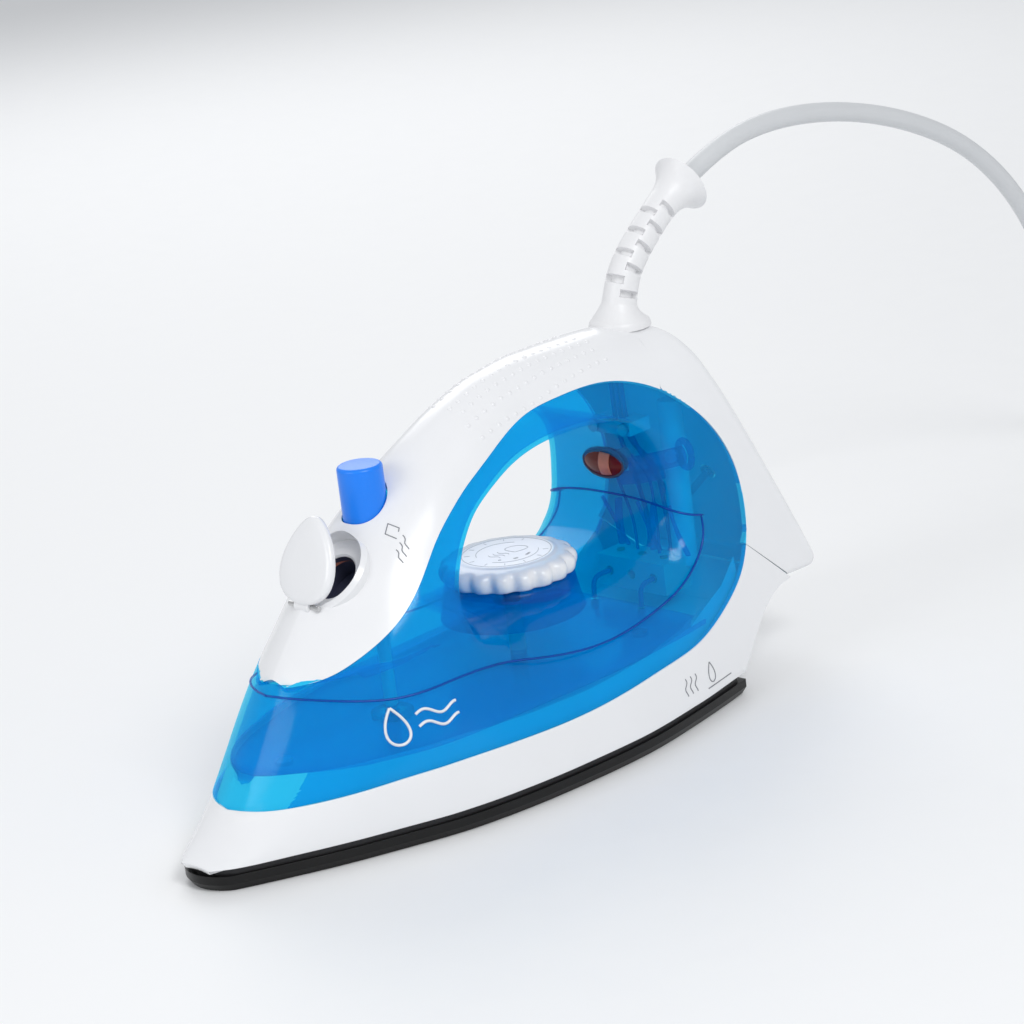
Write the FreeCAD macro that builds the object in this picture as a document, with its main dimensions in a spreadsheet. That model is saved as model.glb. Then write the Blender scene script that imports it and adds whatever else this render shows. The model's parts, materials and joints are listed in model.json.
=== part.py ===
"""Household steam iron: sole, casing, water tank, controls and mains lead, each piece on its own.

Shapes are worked out with the nose tip of the sole at x = 0 and +x towards the heel; every object
is then moved back by half the overall length, so that the origin is at the bottom centre of the
iron. +Y is the left hand side, +Z is up, and the sole rests on z = 0. All sizes are millimetres.
"""
import FreeCAD, Part
import math
import os

from FreeCAD import Rotation, Vector

os.makedirs("parts", exist_ok=True)
doc = FreeCAD.newDocument("steam_iron")

# ---------------------------------------------------------------- driving dimensions

DIMENSIONS = {
    # overall sizes
    "overall_length": 285, "sole_width": 110, "body_height": 139, "sole_share": 0.8,
    # stations along the length, as shares of overall_length
    "dial_station": 0.5544, "button_station": 0.3333, "lid_station": 0.2193,
    "tank_end_station": 0.695, "terminal_station": 0.795,
    # sole, casting and skirt
    "sole_thick": 5.5, "sole_edge": 2.5, "skirt_base": 8, "rim_inset": 1.2, "casting_inset": 9,
    "casting_top": 16, "cover_thick": 1.2, "steam_hole": 3, "shield_base": 20, "shield_thick": 0.8,
    "deck_base": 27.5, "deck_thick": 2, "wall": 2.2, "seam_gap": 0.15, "lip_gap": 0.25,
    # tank and opening
    "tank_base": 31.5, "floor_level": 60, "roof_level": 57, "handle_thick": 27.5, "column_radius": 9,
    "column_wall": 1.8,
    # dial and thermostat
    "dial_radius": 25.4, "dial_grip_radius": 1.6, "dial_grips": 18, "dial_base": 62, "dial_height": 8,
    "shaft_radius": 3, "running_fit": 0.08, "free_gap": 0.4, "thermostat_radius": 11,
    # button, rod and drip valve
    "button_radius": 8, "button_rise": 13, "button_height": 24, "button_travel": 4, "rod_radius": 2.4,
    "tower_radius": 4.6, "spring_radius": 5.5, "spring_wire": 0.55, "nozzle_radius": 4.6,
    # filler lid
    "lid_radius": 13.6, "lid_tip_radius": 6.5, "lid_length": 30.5, "lid_thick": 3, "lid_lift": 26,
    "lid_plug_radius": 7.4, "recess_radius": 14.6, "recess_depth": 5.5, "filler_radius": 8.4,
    "pin_radius": 0.9, "pin_length": 15, "hinge_radius": 2,
    # lamp
    "lens_width": 19, "lens_height": 10, "lens_stand": 1.2, "lamp_level": 88,
    # lead
    "cord_diameter": 7.6, "boot_radius": 6,
}

sheet = doc.addObject("Spreadsheet::Sheet", "Dims")
for row, (alias, number) in enumerate(DIMENSIONS.items(), start=1):
    sheet.set(f"A{row}", alias)
    sheet.set(f"B{row}", str(number))
    sheet.setAlias(f"B{row}", alias)
doc.recompute()


def size(alias):
    """The number in a named cell."""
    return float(sheet.get(alias))


L = size("overall_length")
HALF_WIDTH = size("sole_width") / 2
TOP = size("body_height")
BASE = size("skirt_base")
WALL = size("wall")
SHIFT = Vector(-L / 2, 0, 0)
FAR = 2 * L  # longer than anything here
nodes = []


# ---------------------------------------------------------------- outline of the casing
# Each table is (share of the overall length, value). Half widths are shares of half the sole's
# width, tops are shares of the body's height.

HALF_WIDTHS = [(0, 0.127), (0.025, 0.245), (0.088, 0.418), (0.154, 0.582), (0.21, 0.7), (0.28, 0.836),
               (0.36, 0.927), (0.456, 0.982), (0.558, 1.0), (0.688, 0.927), (0.8, 0.811), (1.0, 0.673)]
TOPS = [(0, 0.062), (0.025, 0.09), (0.053, 0.144), (0.093, 0.252), (0.179, 0.496), (0.24, 0.628),
        (0.312, 0.75), (0.375, 0.833), (0.432, 0.896), (0.488, 0.947), (0.551, 0.985), (0.621, 1.0),
        (0.719, 0.997), (0.79, 0.988), (1.05, 0.98)]
TAPERS = [(0, 0.0), (0.175, 0.0), (0.35, 0.45), (0.44, 0.68), (0.56, 0.76), (0.7, 0.62), (0.84, 0.4),
          (1.0, 0.3)]
CROWNS = [(0, 2.0), (0.21, 2.2), (0.35, 5), (0.44, 12), (0.56, 22), (0.84, 12), (1.0, 12)]
BLUNTNESS = [(0, 0.72), (0.21, 0.68), (0.35, 0.55), (0.456, 0.5), (1.0, 0.5)]
TAPER_POWER = 1.1


def smooth(table, share):
    """A curve through the table's points that never overshoots: cubic pieces with averaged slopes."""
    xs, ys = zip(*table)
    if share <= xs[0]:
        return ys[0]
    if share >= xs[-1]:
        return ys[-1]
    secants = [(ys[i + 1] - ys[i]) / (xs[i + 1] - xs[i]) for i in range(len(xs) - 1)]
    slopes = [secants[0]]
    for before, after in zip(secants, secants[1:]):
        slopes.append(0 if before * after <= 0 else 2 * before * after / (before + after))
    slopes.append(secants[-1])
    i = max(k for k in range(len(xs) - 1) if xs[k] <= share)
    step = xs[i + 1] - xs[i]
    u = (share - xs[i]) / step
    return (ys[i] * (1 + 2 * u) * (1 - u) ** 2 + ys[i + 1] * u * u * (3 - 2 * u)
            + step * (slopes[i] * u * (1 - u) ** 2 - slopes[i + 1] * u * u * (1 - u)))


def half_width(x):
    """Half the casing's width at its bottom edge."""
    return HALF_WIDTH * smooth(HALF_WIDTHS, x / L)


def top(x):
    """Height of the casing's top line."""
    return TOP * smooth(TOPS, x / L)


def slope(function, x):
    """Rise of a function of x, by a centred difference of one millimetre."""
    return function(x + 0.5) - function(x - 0.5)


def section(x, inset):
    """Points over the casing at station x, from +Y over the top to -Y, moved in by inset."""
    width = half_width(x) - inset * math.hypot(1, slope(half_width, x))
    height = top(x) - inset * math.hypot(1, slope(top, x))
    taper, crown, blunt = (smooth(t, x / L) for t in (TAPERS, CROWNS, BLUNTNESS))
    count = 14
    right = []
    for k in range(count):
        rise = 1 - (1 - k / count) ** 2.2
        reach = width * (1 - taper * rise ** TAPER_POWER) * (1 - rise ** crown) ** blunt
        right.append((reach, BASE + (height - BASE) * rise))
    left = [(-y, z) for y, z in reversed(right)]
    return [Vector(x, y, z) for y, z in right + [(0, height)] + left]


def casing_solid(inset):
    """The casing's outer form, or its hollow when inset by the wall, as a loft along x."""
    first = 0.0 if inset == 0 else 0.055
    shares = [first, 0.08, 0.12, 0.17, 0.22, 0.28, 0.34, 0.4, 0.46, 0.53, 0.6, 0.68, 0.76, 0.84, 0.93, 1.05]
    if inset == 0:
        shares[1:1] = [0.02, 0.045]
    wires = []
    for share in shares:
        points = section(share * L, inset)
        over = Part.BSplineCurve()
        over.interpolate(points)
        wires.append(Part.Wire([over.toShape(), Part.makeLine(points[-1], points[0])]))
    return Part.makeLoft(wires, True, False)


def prism(outline, closing=(), half_depth=FAR / 2):
    """A solid across the whole width: a smooth side outline closed by the straight points."""
    points = [Vector(x, -half_depth, z) for x, z in outline]
    curve = Part.BSplineCurve()
    curve.interpolate(points)
    corners = [points[-1]] + [Vector(x, -half_depth, z) for x, z in closing] + [points[0]]
    edges = [curve.toShape()] + [Part.makeLine(a, b) for a, b in zip(corners, corners[1:])]
    return Part.Face(Part.Wire(edges)).extrude(Vector(0, 2 * half_depth, 0))


def slab(corners, half_depth=FAR / 2):
    """A solid across the whole width with straight sides."""
    return Part.Face(Part.makePolygon([Vector(x, -half_depth, z) for x, z in corners + corners[:1]])
                     ).extrude(Vector(0, 2 * half_depth, 0))


def feature(name, shape, label=None):
    """A document object holding a worked-out shape, kept as a node when it has a label."""
    made = doc.addObject("Part::Feature", name)
    made.Shape = shape
    made.Placement = FreeCAD.Placement(SHIFT, Rotation()).multiply(shape.Placement)
    if label:
        keep(made, label)
    return made


def keep(made, label):
    """Marks an object as a sub-part of the iron."""
    made.Label = label
    nodes.append(made)
    return made


# ---------------------------------------------------------------- primitives tied to the sheet

AXES = {"X": Rotation(Vector(0, 1, 0), 90), "Y": Rotation(Vector(1, 0, 0), -90), "Z": Rotation()}


def at(made, x, y, z, axis="Z"):
    """Places an object by expressions, x being measured from the nose."""
    made.Placement = FreeCAD.Placement(Vector(), AXES[axis])
    made.setExpression("Placement.Base.x", f"({x}) - Dims.overall_length / 2")
    made.setExpression("Placement.Base.y", str(y))
    made.setExpression("Placement.Base.z", str(z))
    return made


def cylinder(name, radius, height, x, y, z, axis="Z"):
    """A cylinder whose base centre is at x, y, z."""
    made = doc.addObject("Part::Cylinder", name)
    made.setExpression("Radius", str(radius))
    made.setExpression("Height", str(height))
    return at(made, x, y, z, axis)


def box(name, length, width, height, x, y, z):
    """A box centred on y, with its low x end and its bottom at x and z."""
    made = doc.addObject("Part::Box", name)
    made.setExpression("Length", str(length))
    made.setExpression("Width", str(width))
    made.setExpression("Height", str(height))
    return at(made, x, f"({y}) - ({width}) / 2", z)


def ring(name, outer, inner, height, x, y, z, axis="Z"):
    """A tube with flat ends."""
    return cut(name, cylinder(name + "_body", outer, height, x, y, z, axis),
               cylinder(name + "_bore", inner, height, x, y, z, axis))


def cut(name, base, tool):
    """One object less another."""
    made = doc.addObject("Part::Cut", name)
    made.Base, made.Tool = base, tool
    return made


def join(name, *pieces):
    """Several objects as one solid, or as a group of separate solids."""
    made = doc.addObject("Part::MultiFuse", name)
    made.Shapes = list(pieces)
    return made


DIAL_X = "Dims.overall_length * Dims.dial_station"
dial_x = L * size("dial_station")
button_x = L * size("button_station")
lid_x = L * size("lid_station")
terminal_x = L * size("terminal_station")


# ---------------------------------------------------------------- tubes: wires, element and lead

def rounded_path(points):
    """Straight runs joined by tangent arcs, each as large as its two runs allow, and their radii."""
    edges, radii = [], []
    start = points[0]
    for before, corner, after in zip(points, points[1:], points[2:]):
        arriving, leaving = corner - before, after - corner
        turn = arriving.getAngle(leaving)
        reach = 0.45 * min(arriving.Length, leaving.Length)
        radii.append(reach / math.tan(turn / 2))
        towards = Vector(arriving).normalize()
        away = Vector(leaving).normalize()
        first, last = corner - towards * reach, corner + away * reach
        bisector = (away - towards).normalize()
        centre = corner + bisector * (radii[-1] / math.cos(turn / 2))
        middle = centre - bisector * radii[-1]
        edges += [Part.LineSegment(start, first).toShape(), Part.Arc(first, middle, last).toShape()]
        start = last
    edges.append(Part.LineSegment(start, points[-1]).toShape())
    return Part.Wire(edges), radii


def tube(points, radius):
    """A round bar along a route of points."""
    path, radii = rounded_path(points)
    profile = Part.Wire(Part.makeCircle(radius, points[0], points[1] - points[0]))
    return path.makePipeShell([profile], True, False), path.Length, radii


# ---------------------------------------------------------------- outer form and its regions

BLUE_OUTLINE = [(-0.035, 0.15), (0.032, 0.162), (0.105, 0.168), (0.168, 0.173), (0.239, 0.18), (0.323, 0.18),
                (0.414, 0.173), (0.516, 0.173), (0.628, 0.187), (0.719, 0.201), (0.8, 0.259), (0.839, 0.324),
                (0.86, 0.41), (0.863, 0.568), (0.821, 0.741), (0.758, 0.856), (0.684, 0.906), (0.618, 0.906),
                (0.547, 0.885), (0.488, 0.835), (0.425, 0.77), (0.372, 0.702), (0.323, 0.612), (0.281, 0.54),
                (0.225, 0.471), (0.182, 0.435), (0.154, 0.417), (0.105, 0.4), (-0.035, 0.36)]
HEEL_LEAN = 0.4757  # run per rise of the flat rear face
HEEL_TIP = 34 / 139  # height of the heel, as a share of the body's height
REAR_CORNER = 15


def scaled(outline):
    """Shares of length and height as millimetres."""
    return [(x * L, z * TOP) for x, z in outline]


def rear_x(z):
    """The flat rear face at a height."""
    return L - HEEL_LEAN * (z - HEEL_TIP * TOP)


def side_limit():
    """The space that the casing may fill in side view: flat leaning rear, and heel undercut."""
    skirt_end = L * size("sole_share")
    corners = [(-20, BASE), (skirt_end, BASE), (skirt_end + 7, BASE + 6), (skirt_end + 19, 0.183 * TOP),
               (skirt_end + 37, 0.234 * TOP), (L - 3.5, 0.226 * TOP), (L, HEEL_TIP * TOP),
               (rear_x(TOP * 1.2), TOP * 1.2), (-20, TOP * 1.2)]
    return slab(corners)


def round_rear(solid):
    """Rounds the edge between the casing's top and its leaning rear face."""
    cutter_top = TOP * 1.1
    r = REAR_CORNER
    lean = math.atan(HEEL_LEAN)
    height = top(0.78 * L) - 0.4
    centre_z = height - r
    centre_x = rear_x(centre_z) - r / math.cos(lean)
    steps = 6
    arc = []
    for k in range(steps + 1):
        turn = (math.pi / 2 - lean) * k / steps
        arc.append((centre_x + r * math.sin(turn), centre_z + r * math.cos(turn)))
    corners = arc + [(rear_x(centre_z - r) + 0.2, centre_z - r), (FAR, centre_z - r), (FAR, cutter_top),
                     (centre_x, cutter_top)]
    return solid.cut(slab(corners))


def opening_outline(y):
    """The hand opening in side view at distance y from the middle: its floor falls off sideways."""
    fall = (abs(y) / 42) ** 2.5
    floor = size("floor_level")
    ceiling = TOP - size("handle_thick")
    rise = ceiling - floor
    floor -= 12 * fall
    front, rear = 0.3635 * L, 0.7405 * L
    span = rear - front
    back = 7 * fall
    low = [(0.16, 0.06), (0.26, 0.0), (0.4, -0.01), (0.55, -0.01), (0.7, 0.0), (0.82, 0.035)]
    high = [(0.95, 0.16), (1.0, 0.36), (1.0, 0.6), (0.965, 0.82), (0.88, 0.965), (0.75, 1.02), (0.6, 1.02),
            (0.45, 0.98), (0.3, 0.88), (0.17, 0.74), (0.06, 0.54), (0.0, 0.34), (0.04, 0.18)]
    points = [(front + span * u + (back if u > 0.8 else 0), floor + rise * v) for u, v in low]
    points += [(front + span * u + (back * (1 - v) if u > 0.8 else 0),
                floor + (ceiling - floor) * v if v < 0.5 else ceiling - rise * (1 - v)) for u, v in high]
    return points


def grown(points, grow):
    """A closed outline moved outwards by grow, point by point, along its own normals."""
    moved = []
    for before, (x, z), after in zip(points[-1:] + points[:-1], points, points[1:] + points[:1]):
        run, rise = after[0] - before[0], after[1] - before[1]
        length = math.hypot(run, rise)
        moved.append((x + grow * rise / length, z - grow * run / length))
    return moved


def opening_solid(grow):
    """The space of the hand opening, widened all round by grow."""
    wires = []
    for y in (-70, -50, -42, -30, -16, 0, 16, 30, 42, 50, 70):
        outline = grown(opening_outline(max(-50, min(50, y))), grow)
        curve = Part.BSplineCurve()
        curve.interpolate([Vector(x, y, z) for x, z in outline], PeriodicFlag=True)
        wires.append(Part.Wire(curve.toShape()))
    return Part.makeLoft(wires, True, False)


def rear_inset():
    """The hollow's side limit: the wall away from the rear face and the heel's underside."""
    skirt_end = L * size("sole_share")
    run = WALL * math.hypot(1, HEEL_LEAN)
    corners = [(0, BASE - 1), (skirt_end - WALL, BASE - 1), (skirt_end + 4, BASE + 6 + WALL),
               (skirt_end + 17, 0.183 * TOP + WALL), (skirt_end + 37, 0.234 * TOP + WALL),
               (L - 3.5 - run, 0.234 * TOP + WALL), (rear_x(TOP - 18) - run, TOP - 18),
               (rear_x(TOP - 18) - run - 12, TOP + 5), (0, TOP + 5)]
    return slab(corners)


outer = round_rear(casing_solid(0).common(side_limit()))
opening = opening_solid(0)
hollow = casing_solid(WALL).common(rear_inset())
hollow_net = hollow.cut(opening_solid(WALL))
shell = outer.cut(opening).cut(hollow_net)

SEAM_GAP = size("seam_gap")
BLUE = scaled(BLUE_OUTLINE)
SKIRT_LINE = scaled([(-0.1, 0.25), (0.55, 0.26), (0.854, 0.367), (0.933, 0.23), (1.05, 0.03)])
SKIRT_SPACE = slab(SKIRT_LINE + [(1.05 * L, 0), (-0.1 * L, 0)])
REAR_SPACE = slab(scaled([(0.795, 1.1), (0.768, 0.849), (0.8, 0.5), (0.854, 0.367), (0.933, 0.23),
                          (1.05, 0.03), (1.3, 0.03), (1.3, 1.1)]))
SEAM_SPACE = slab(scaled([(-0.1, 0.36), (0.26, 0.375), (0.39, 0.365), (0.51, 0.32), (0.66, 0.33),
                          (0.73, 0.36), (0.77, 0.41), (0.8, 0.43), (1.3, 0.43), (1.3, 0), (-0.1, 0)]))


def largest(shape):
    """The biggest of a shape's separate solids, without the slivers that a cut can leave."""
    return max(shape.Solids, key=lambda solid: solid.Volume)


def post(radius, low, high, x, y=0.0):
    """An upright round bar between two heights."""
    return Part.makeCylinder(radius, high - low, Vector(x, y, low))


def plate(low, high, start=-20.0, end=FAR):
    """The space between two heights and two stations."""
    return Part.makeBox(end - start, FAR, high - low, Vector(start, -FAR / 2, low))


FREE = size("free_gap")
FIT = size("running_fit")
ROD_R, BUTTON_R, SHAFT_R = size("rod_radius"), size("button_radius"), size("shaft_radius")
DECK, DECK_TOP = size("deck_base"), size("deck_base") + size("deck_thick")
TANK_BASE, ROOF = size("tank_base"), size("roof_level")
TANK_FLOOR_TOP = TANK_BASE + 2
tank_end = L * size("tank_end_station")
COLUMN_R = size("column_radius")
COLUMN_BORE = COLUMN_R - size("column_wall")
button_base = top(button_x) + size("button_rise") - size("button_height")
TOWER_TOP = button_base - 14


# ---------------------------------------------------------------- filler lid, in its own plane
# The lid plane passes through the hinge pin; u runs from the pin towards the finger tab and n
# stands away from the casing. Closed, it lies along the casing's slope.

closed_angle = math.degrees(math.atan((top(lid_x + 20) - top(lid_x)) / 20))
HINGE = Vector(lid_x, 0, top(lid_x) - 1.2)
lid_middle = size("lid_radius") + 1.4


def in_plane(shape, angle, origin):
    """Turns a shape drawn in the lid's plane (u, y, n) up to an angle and moves it to a point."""
    turned = shape.copy()
    turned.rotate(Vector(), Vector(0, -1, 0), angle)
    turned.translate(origin)
    return turned


def teardrop(radius, tip_radius, length, height):
    """The lid's outline, a large round and a small one joined by tangents, as a plate."""
    first, last = Vector(radius + 1.4, 0, 0), Vector(length - tip_radius, 0, 0)
    lean = math.asin((radius - tip_radius) / (last.x - first.x))

    def rim(centre, r, turn):
        return centre + Vector(r * math.cos(turn), r * math.sin(turn), 0)

    side = math.pi / 2 - lean
    edges = [Part.Arc(rim(first, radius, side), rim(first, radius, math.pi), rim(first, radius, -side)),
             Part.LineSegment(rim(first, radius, -side), rim(last, tip_radius, -side)),
             Part.Arc(rim(last, tip_radius, -side), rim(last, tip_radius, 0), rim(last, tip_radius, side)),
             Part.LineSegment(rim(last, tip_radius, side), rim(first, radius, side))]
    return Part.Face(Part.Wire([e.toShape() for e in edges])).extrude(Vector(0, 0, height))


def filler_lid():
    """Cover plate with a plug underneath and a hinge barrel round the pin."""
    thick = size("lid_thick")
    body = teardrop(size("lid_radius"), size("lid_tip_radius"), size("lid_length"), thick)
    body = body.makeFillet(0.9, [e for e in body.Edges if abs(e.CenterOfMass.z - thick) < 0.01])
    plug = Part.makeCylinder(size("lid_plug_radius"), 2.4, Vector(lid_middle, 0, -2.4))
    barrel = Part.makeCylinder(size("hinge_radius"), 7, Vector(0, -3.5, 0), Vector(0, 1, 0))
    web = Part.makeBox(3.5, 7, thick - 0.4, Vector(0, -3.5, 0))
    bore = Part.makeCylinder(size("pin_radius") + FIT, 20, Vector(0, -10, 0), Vector(0, 1, 0))
    return in_plane(body.fuse([plug, barrel, web]).cut(bore), closed_angle + size("lid_lift"), HINGE)


def lid_space(radius, low, high):
    """A round space square to the casing's slope under the lid's middle."""
    return in_plane(Part.makeCylinder(radius, high - low, Vector(lid_middle, 0, low)), closed_angle, HINGE)


RECESS_R, RECESS_DEPTH = size("recess_radius"), size("recess_depth")
FILLER_R = size("filler_radius")
NECK_R = FILLER_R + 1.6
cup = lid_space(RECESS_R + 2, -RECESS_DEPTH - 2, 12).common(outer)
recess = lid_space(RECESS_R, -RECESS_DEPTH, 30)
notch = in_plane(Part.makeBox(7.5, 8, 22, Vector(-3.2, -4, -3)), closed_angle, HINGE)
tab_slot = in_plane(teardrop(RECESS_R, size("lid_tip_radius") + 1, size("lid_length") + 1.2, 30),
                    closed_angle, HINGE - Vector(0, 0, 0.9))
pin_bore = Part.makeCylinder(size("pin_radius"), size("pin_length"),
                             HINGE - Vector(0, size("pin_length") / 2, 0), Vector(0, 1, 0))
filler_hole = lid_space(FILLER_R, -RECESS_DEPTH - 2.6, 5)
NECK_X = HINGE.x + lid_middle * math.cos(math.radians(closed_angle)) + \
    (RECESS_DEPTH + 0.3) * math.sin(math.radians(closed_angle))
SEAL_TOP = -RECESS_DEPTH - 2.05
feature("filler_lid_body", filler_lid(), "filler_lid")
feature("filler_hinge_pin_bar", pin_bore, "filler_hinge_pin")

# ---------------------------------------------------------------- casing pieces

white = shell.cut(prism(grown(BLUE, SEAM_GAP)))
blue = shell.common(prism(BLUE))

ANCHOR = Vector(0.782 * L, 0, top(0.782 * L) - 10)  # where the lead goes down into the casing
lead_hole = Part.makeCylinder(4.4, 24, ANCHOR - Vector(1.5, 0, 6), Vector(0.1, 0, 1))
sleeve = post(BUTTON_R + FREE + 1.5, button_base - 3, TOP, button_x).common(outer)
button_bore = post(BUTTON_R + FREE, button_base - 8, TOP, button_x)
handle_cover = white.cut(SKIRT_SPACE).cut(REAR_SPACE).fuse([cup, sleeve])
handle_cover = handle_cover.cut(recess.fuse([notch, tab_slot, filler_hole, pin_bore]))
handle_cover = handle_cover.cut(button_bore).cut(lead_hole)
feature("handle_cover_shell", largest(handle_cover), "handle_cover")

SCREW_Z = 0.5 * TOP
rear_space = REAR_SPACE.copy()
rear_space.translate(Vector(SEAM_GAP, 0, 0))
screw_line = Vector(-1, 0, -HEEL_LEAN)
screw_head = Vector(rear_x(SCREW_Z), 0, SCREW_Z)
rear_cover = white.common(rear_space).cut(SKIRT_SPACE).cut(lead_hole)
boss = Part.makeCylinder(4.2, 9, screw_head, screw_line)
screw_well = Part.makeCylinder(3.4, 3.2, screw_head - screw_line * 0.5, screw_line)
screw_bore = Part.makeCylinder(1.5, 30, screw_head, screw_line)
rear_cover = rear_cover.fuse(boss.common(outer)).cut(screw_well).cut(screw_bore)
feature("rear_cover_shell", rear_cover, "rear_cover")


def deck_form(extra):
    """The hollow below the tank, moved in by a further amount."""
    return casing_solid(WALL + extra).common(plate(BASE, DECK_TOP, 0, 0.82 * L - extra))


lip_form = deck_form(size("lip_gap"))
lip_hollow = deck_form(size("lip_gap") + WALL)
skirt = white.common(SKIRT_SPACE)
skirt = skirt.fuse([lip_form.cut(lip_hollow).common(plate(16, DECK_TOP)),
                    casing_solid(WALL * 0.6).common(plate(16, 18.2, 0, 0.82 * L)).cut(lip_hollow),
                    lip_form.common(plate(DECK, DECK_TOP))])
TERMINAL_HOLES = [post(2.2, 0, FAR, 0.74 * L, y) for y in (-12, 12)]
SCREW_R = 1.7
SOLE_SPOTS = [(0.155 * L, 0), (0.69 * L, 24), (0.69 * L, -24)]
SOLE_SCREW_HOLES = [post(SCREW_R, 10, DECK_TOP + 1, x, y) for x, y in SOLE_SPOTS]
skirt = skirt.cut(post(COLUMN_BORE, 0, FAR, dial_x)).cut(post(size("nozzle_radius") + 0.1, 0, FAR, button_x))
for hole in TERMINAL_HOLES + SOLE_SCREW_HOLES:
    skirt = skirt.cut(hole)
feature("skirt_shell", skirt, "lower_skirt")

tank_space = hollow_net.common(plate(TANK_BASE, FAR, -20, tank_end))
tank_lower = blue.common(SEAM_SPACE).fuse([
    tank_space.common(plate(TANK_BASE, TANK_FLOOR_TOP)),
    tank_space.common(plate(TANK_BASE, FAR, tank_end - 2, tank_end)),
    tank_space.common(post(COLUMN_R, TANK_BASE, FAR, dial_x).common(plate(0, size("floor_level"))))])
tank_lower = tank_lower.cut(post(COLUMN_BORE, 0, FAR, dial_x)).cut(post(ROD_R + 0.5, 0, FAR, button_x))
feature("tank_lower_shell", tank_lower, "water_tank_lower")

seam_top = SEAM_SPACE.copy()
seam_top.translate(Vector(0, 0, SEAM_GAP))
roof_end = 0.4 * L
roof = hollow_net.common(plate(ROOF, ROOF + 2, -20, roof_end))
tower = post(size("tower_radius"), ROOF, TOWER_TOP, button_x)
neck_bore = post(FILLER_R, ROOF - 1, FAR, NECK_X)
neck = post(NECK_R, ROOF, FAR, NECK_X).cut(lid_space(FAR, SEAL_TOP - 1.6, FAR))
tank_upper = blue.cut(seam_top).fuse([roof, tower, neck.common(hollow_net)])
tank_upper = tank_upper.cut(neck_bore).cut(post(ROD_R + FIT, 0, FAR, button_x))
platform = post(size("dial_radius") - 7, size("floor_level") - 8, size("dial_base") - 0.5, dial_x)
tank_upper = tank_upper.fuse(platform.common(opening_solid(WALL * 0.5)))
tank_upper = tank_upper.cut(post(SHAFT_R + FREE, 0, FAR, dial_x)).cut(post(COLUMN_BORE, 0, 52, dial_x))

# the pilot lens sits in an oval hole in the opening's rear wall
LAMP_Z = size("lamp_level")
lamp_x = opening_outline(0)[8][0]


def oval(depth, start_x, grow=0.0):
    """A bar of the lens's oval section lying along x."""
    curve = Part.Ellipse(Vector(), LENS_W / 2 + grow, LENS_H / 2 + grow)
    face = Part.Face(Part.Wire(curve.toShape()))
    across = Rotation(Vector(0, 1, 0), Vector(), Vector(1, 0, 0), "ZXY")
    face.Placement = FreeCAD.Placement(Vector(start_x, 0, LAMP_Z), across)
    return face.extrude(Vector(depth, 0, 0))


LENS_W, LENS_H = size("lens_width"), size("lens_height")
tank_upper = tank_upper.cut(oval(12, lamp_x - 5, 0.1)).cut(oval(4, lamp_x + WALL + 0.1, 1.3))
feature("tank_upper_shell", tank_upper, "water_tank_upper")
lens = oval(size("lens_stand") + WALL + 2, lamp_x - size("lens_stand"))
lens = lens.fuse(oval(1.2, lamp_x + WALL + 0.2, 1.2))
feature("pilot_lens_body", lens, "pilot_lens")

# ---------------------------------------------------------------- sole, casting and steam chamber

def plan_outline(inset, z, start, end):
    """The sole's outline moved in by inset, with a round nose and a straight back."""
    points = []
    for k in range(13):
        x = start + (end - start) * k / 12
        points.append(Vector(x, half_width(x) - inset * math.hypot(1, slope(half_width, x)), z))
    side = Part.BSplineCurve()
    side.interpolate(points)
    other = Part.BSplineCurve()
    other.interpolate([Vector(p.x, -p.y, p.z) for p in reversed(points)])
    reach = points[0].y
    nose = Part.Arc(Vector(start, -reach, z), Vector(start - NOSE_BLUNT * reach, 0, z), Vector(start, reach, z))
    back = Part.makeLine(points[-1], Vector(points[-1].x, -points[-1].y, z))
    return Part.Wire([nose.toShape(), side.toShape(), back, other.toShape()])


def plan(inset, low, high, start, end):
    """A plate of the sole's outline moved in by inset."""
    return Part.Face(plan_outline(inset, low, start, end)).extrude(Vector(0, 0, high - low))


def rounded_back(shape, radius):
    """Rounds the two upright corners at the back of a plate."""
    far = shape.BoundBox.XMax
    corners = [e for e in shape.Edges if abs(e.BoundBox.XMin - far) < 0.01 and e.BoundBox.ZLength > 0.5
               and e.BoundBox.YLength < 0.01]
    return shape.makeFillet(radius, corners)


SOLE_END = L * size("sole_share")
SOLE, RIM, EDGE = size("sole_thick"), size("rim_inset"), size("sole_edge")
CASTING_TOP, INSET = size("casting_top"), size("casting_inset")
HOLE_R = size("steam_hole") / 2
NOSE_BLUNT = 0.45  # how far the round nose stands out, as a share of its half width
NOSE_START = 0.0
for _ in range(30):
    NOSE_START = NOSE_BLUNT * half_width(NOSE_START)


def steam_holes(low, high):
    """Two rows of steam holes that follow the front of the sole."""
    holes = []
    for k in range(7):
        x = 0.17 * L + 0.06 * L * k
        y = half_width(x) - INSET - 9
        holes += [post(HOLE_R, low, high, x, side * y) for side in (1, -1)]
    return holes


BEVEL = 1.4
bevel = Part.makeLoft([plan_outline(BEVEL, 0, NOSE_START + BEVEL, SOLE_END - BEVEL),
                       plan_outline(0, EDGE, NOSE_START, SOLE_END)], True, True)
sole = bevel.fuse(plan(0, EDGE, SOLE, NOSE_START, SOLE_END)).removeSplitter()
for hole in steam_holes(-1, SOLE + 1):
    sole = sole.cut(hole)
feature("soleplate_body", sole, "soleplate")

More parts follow.
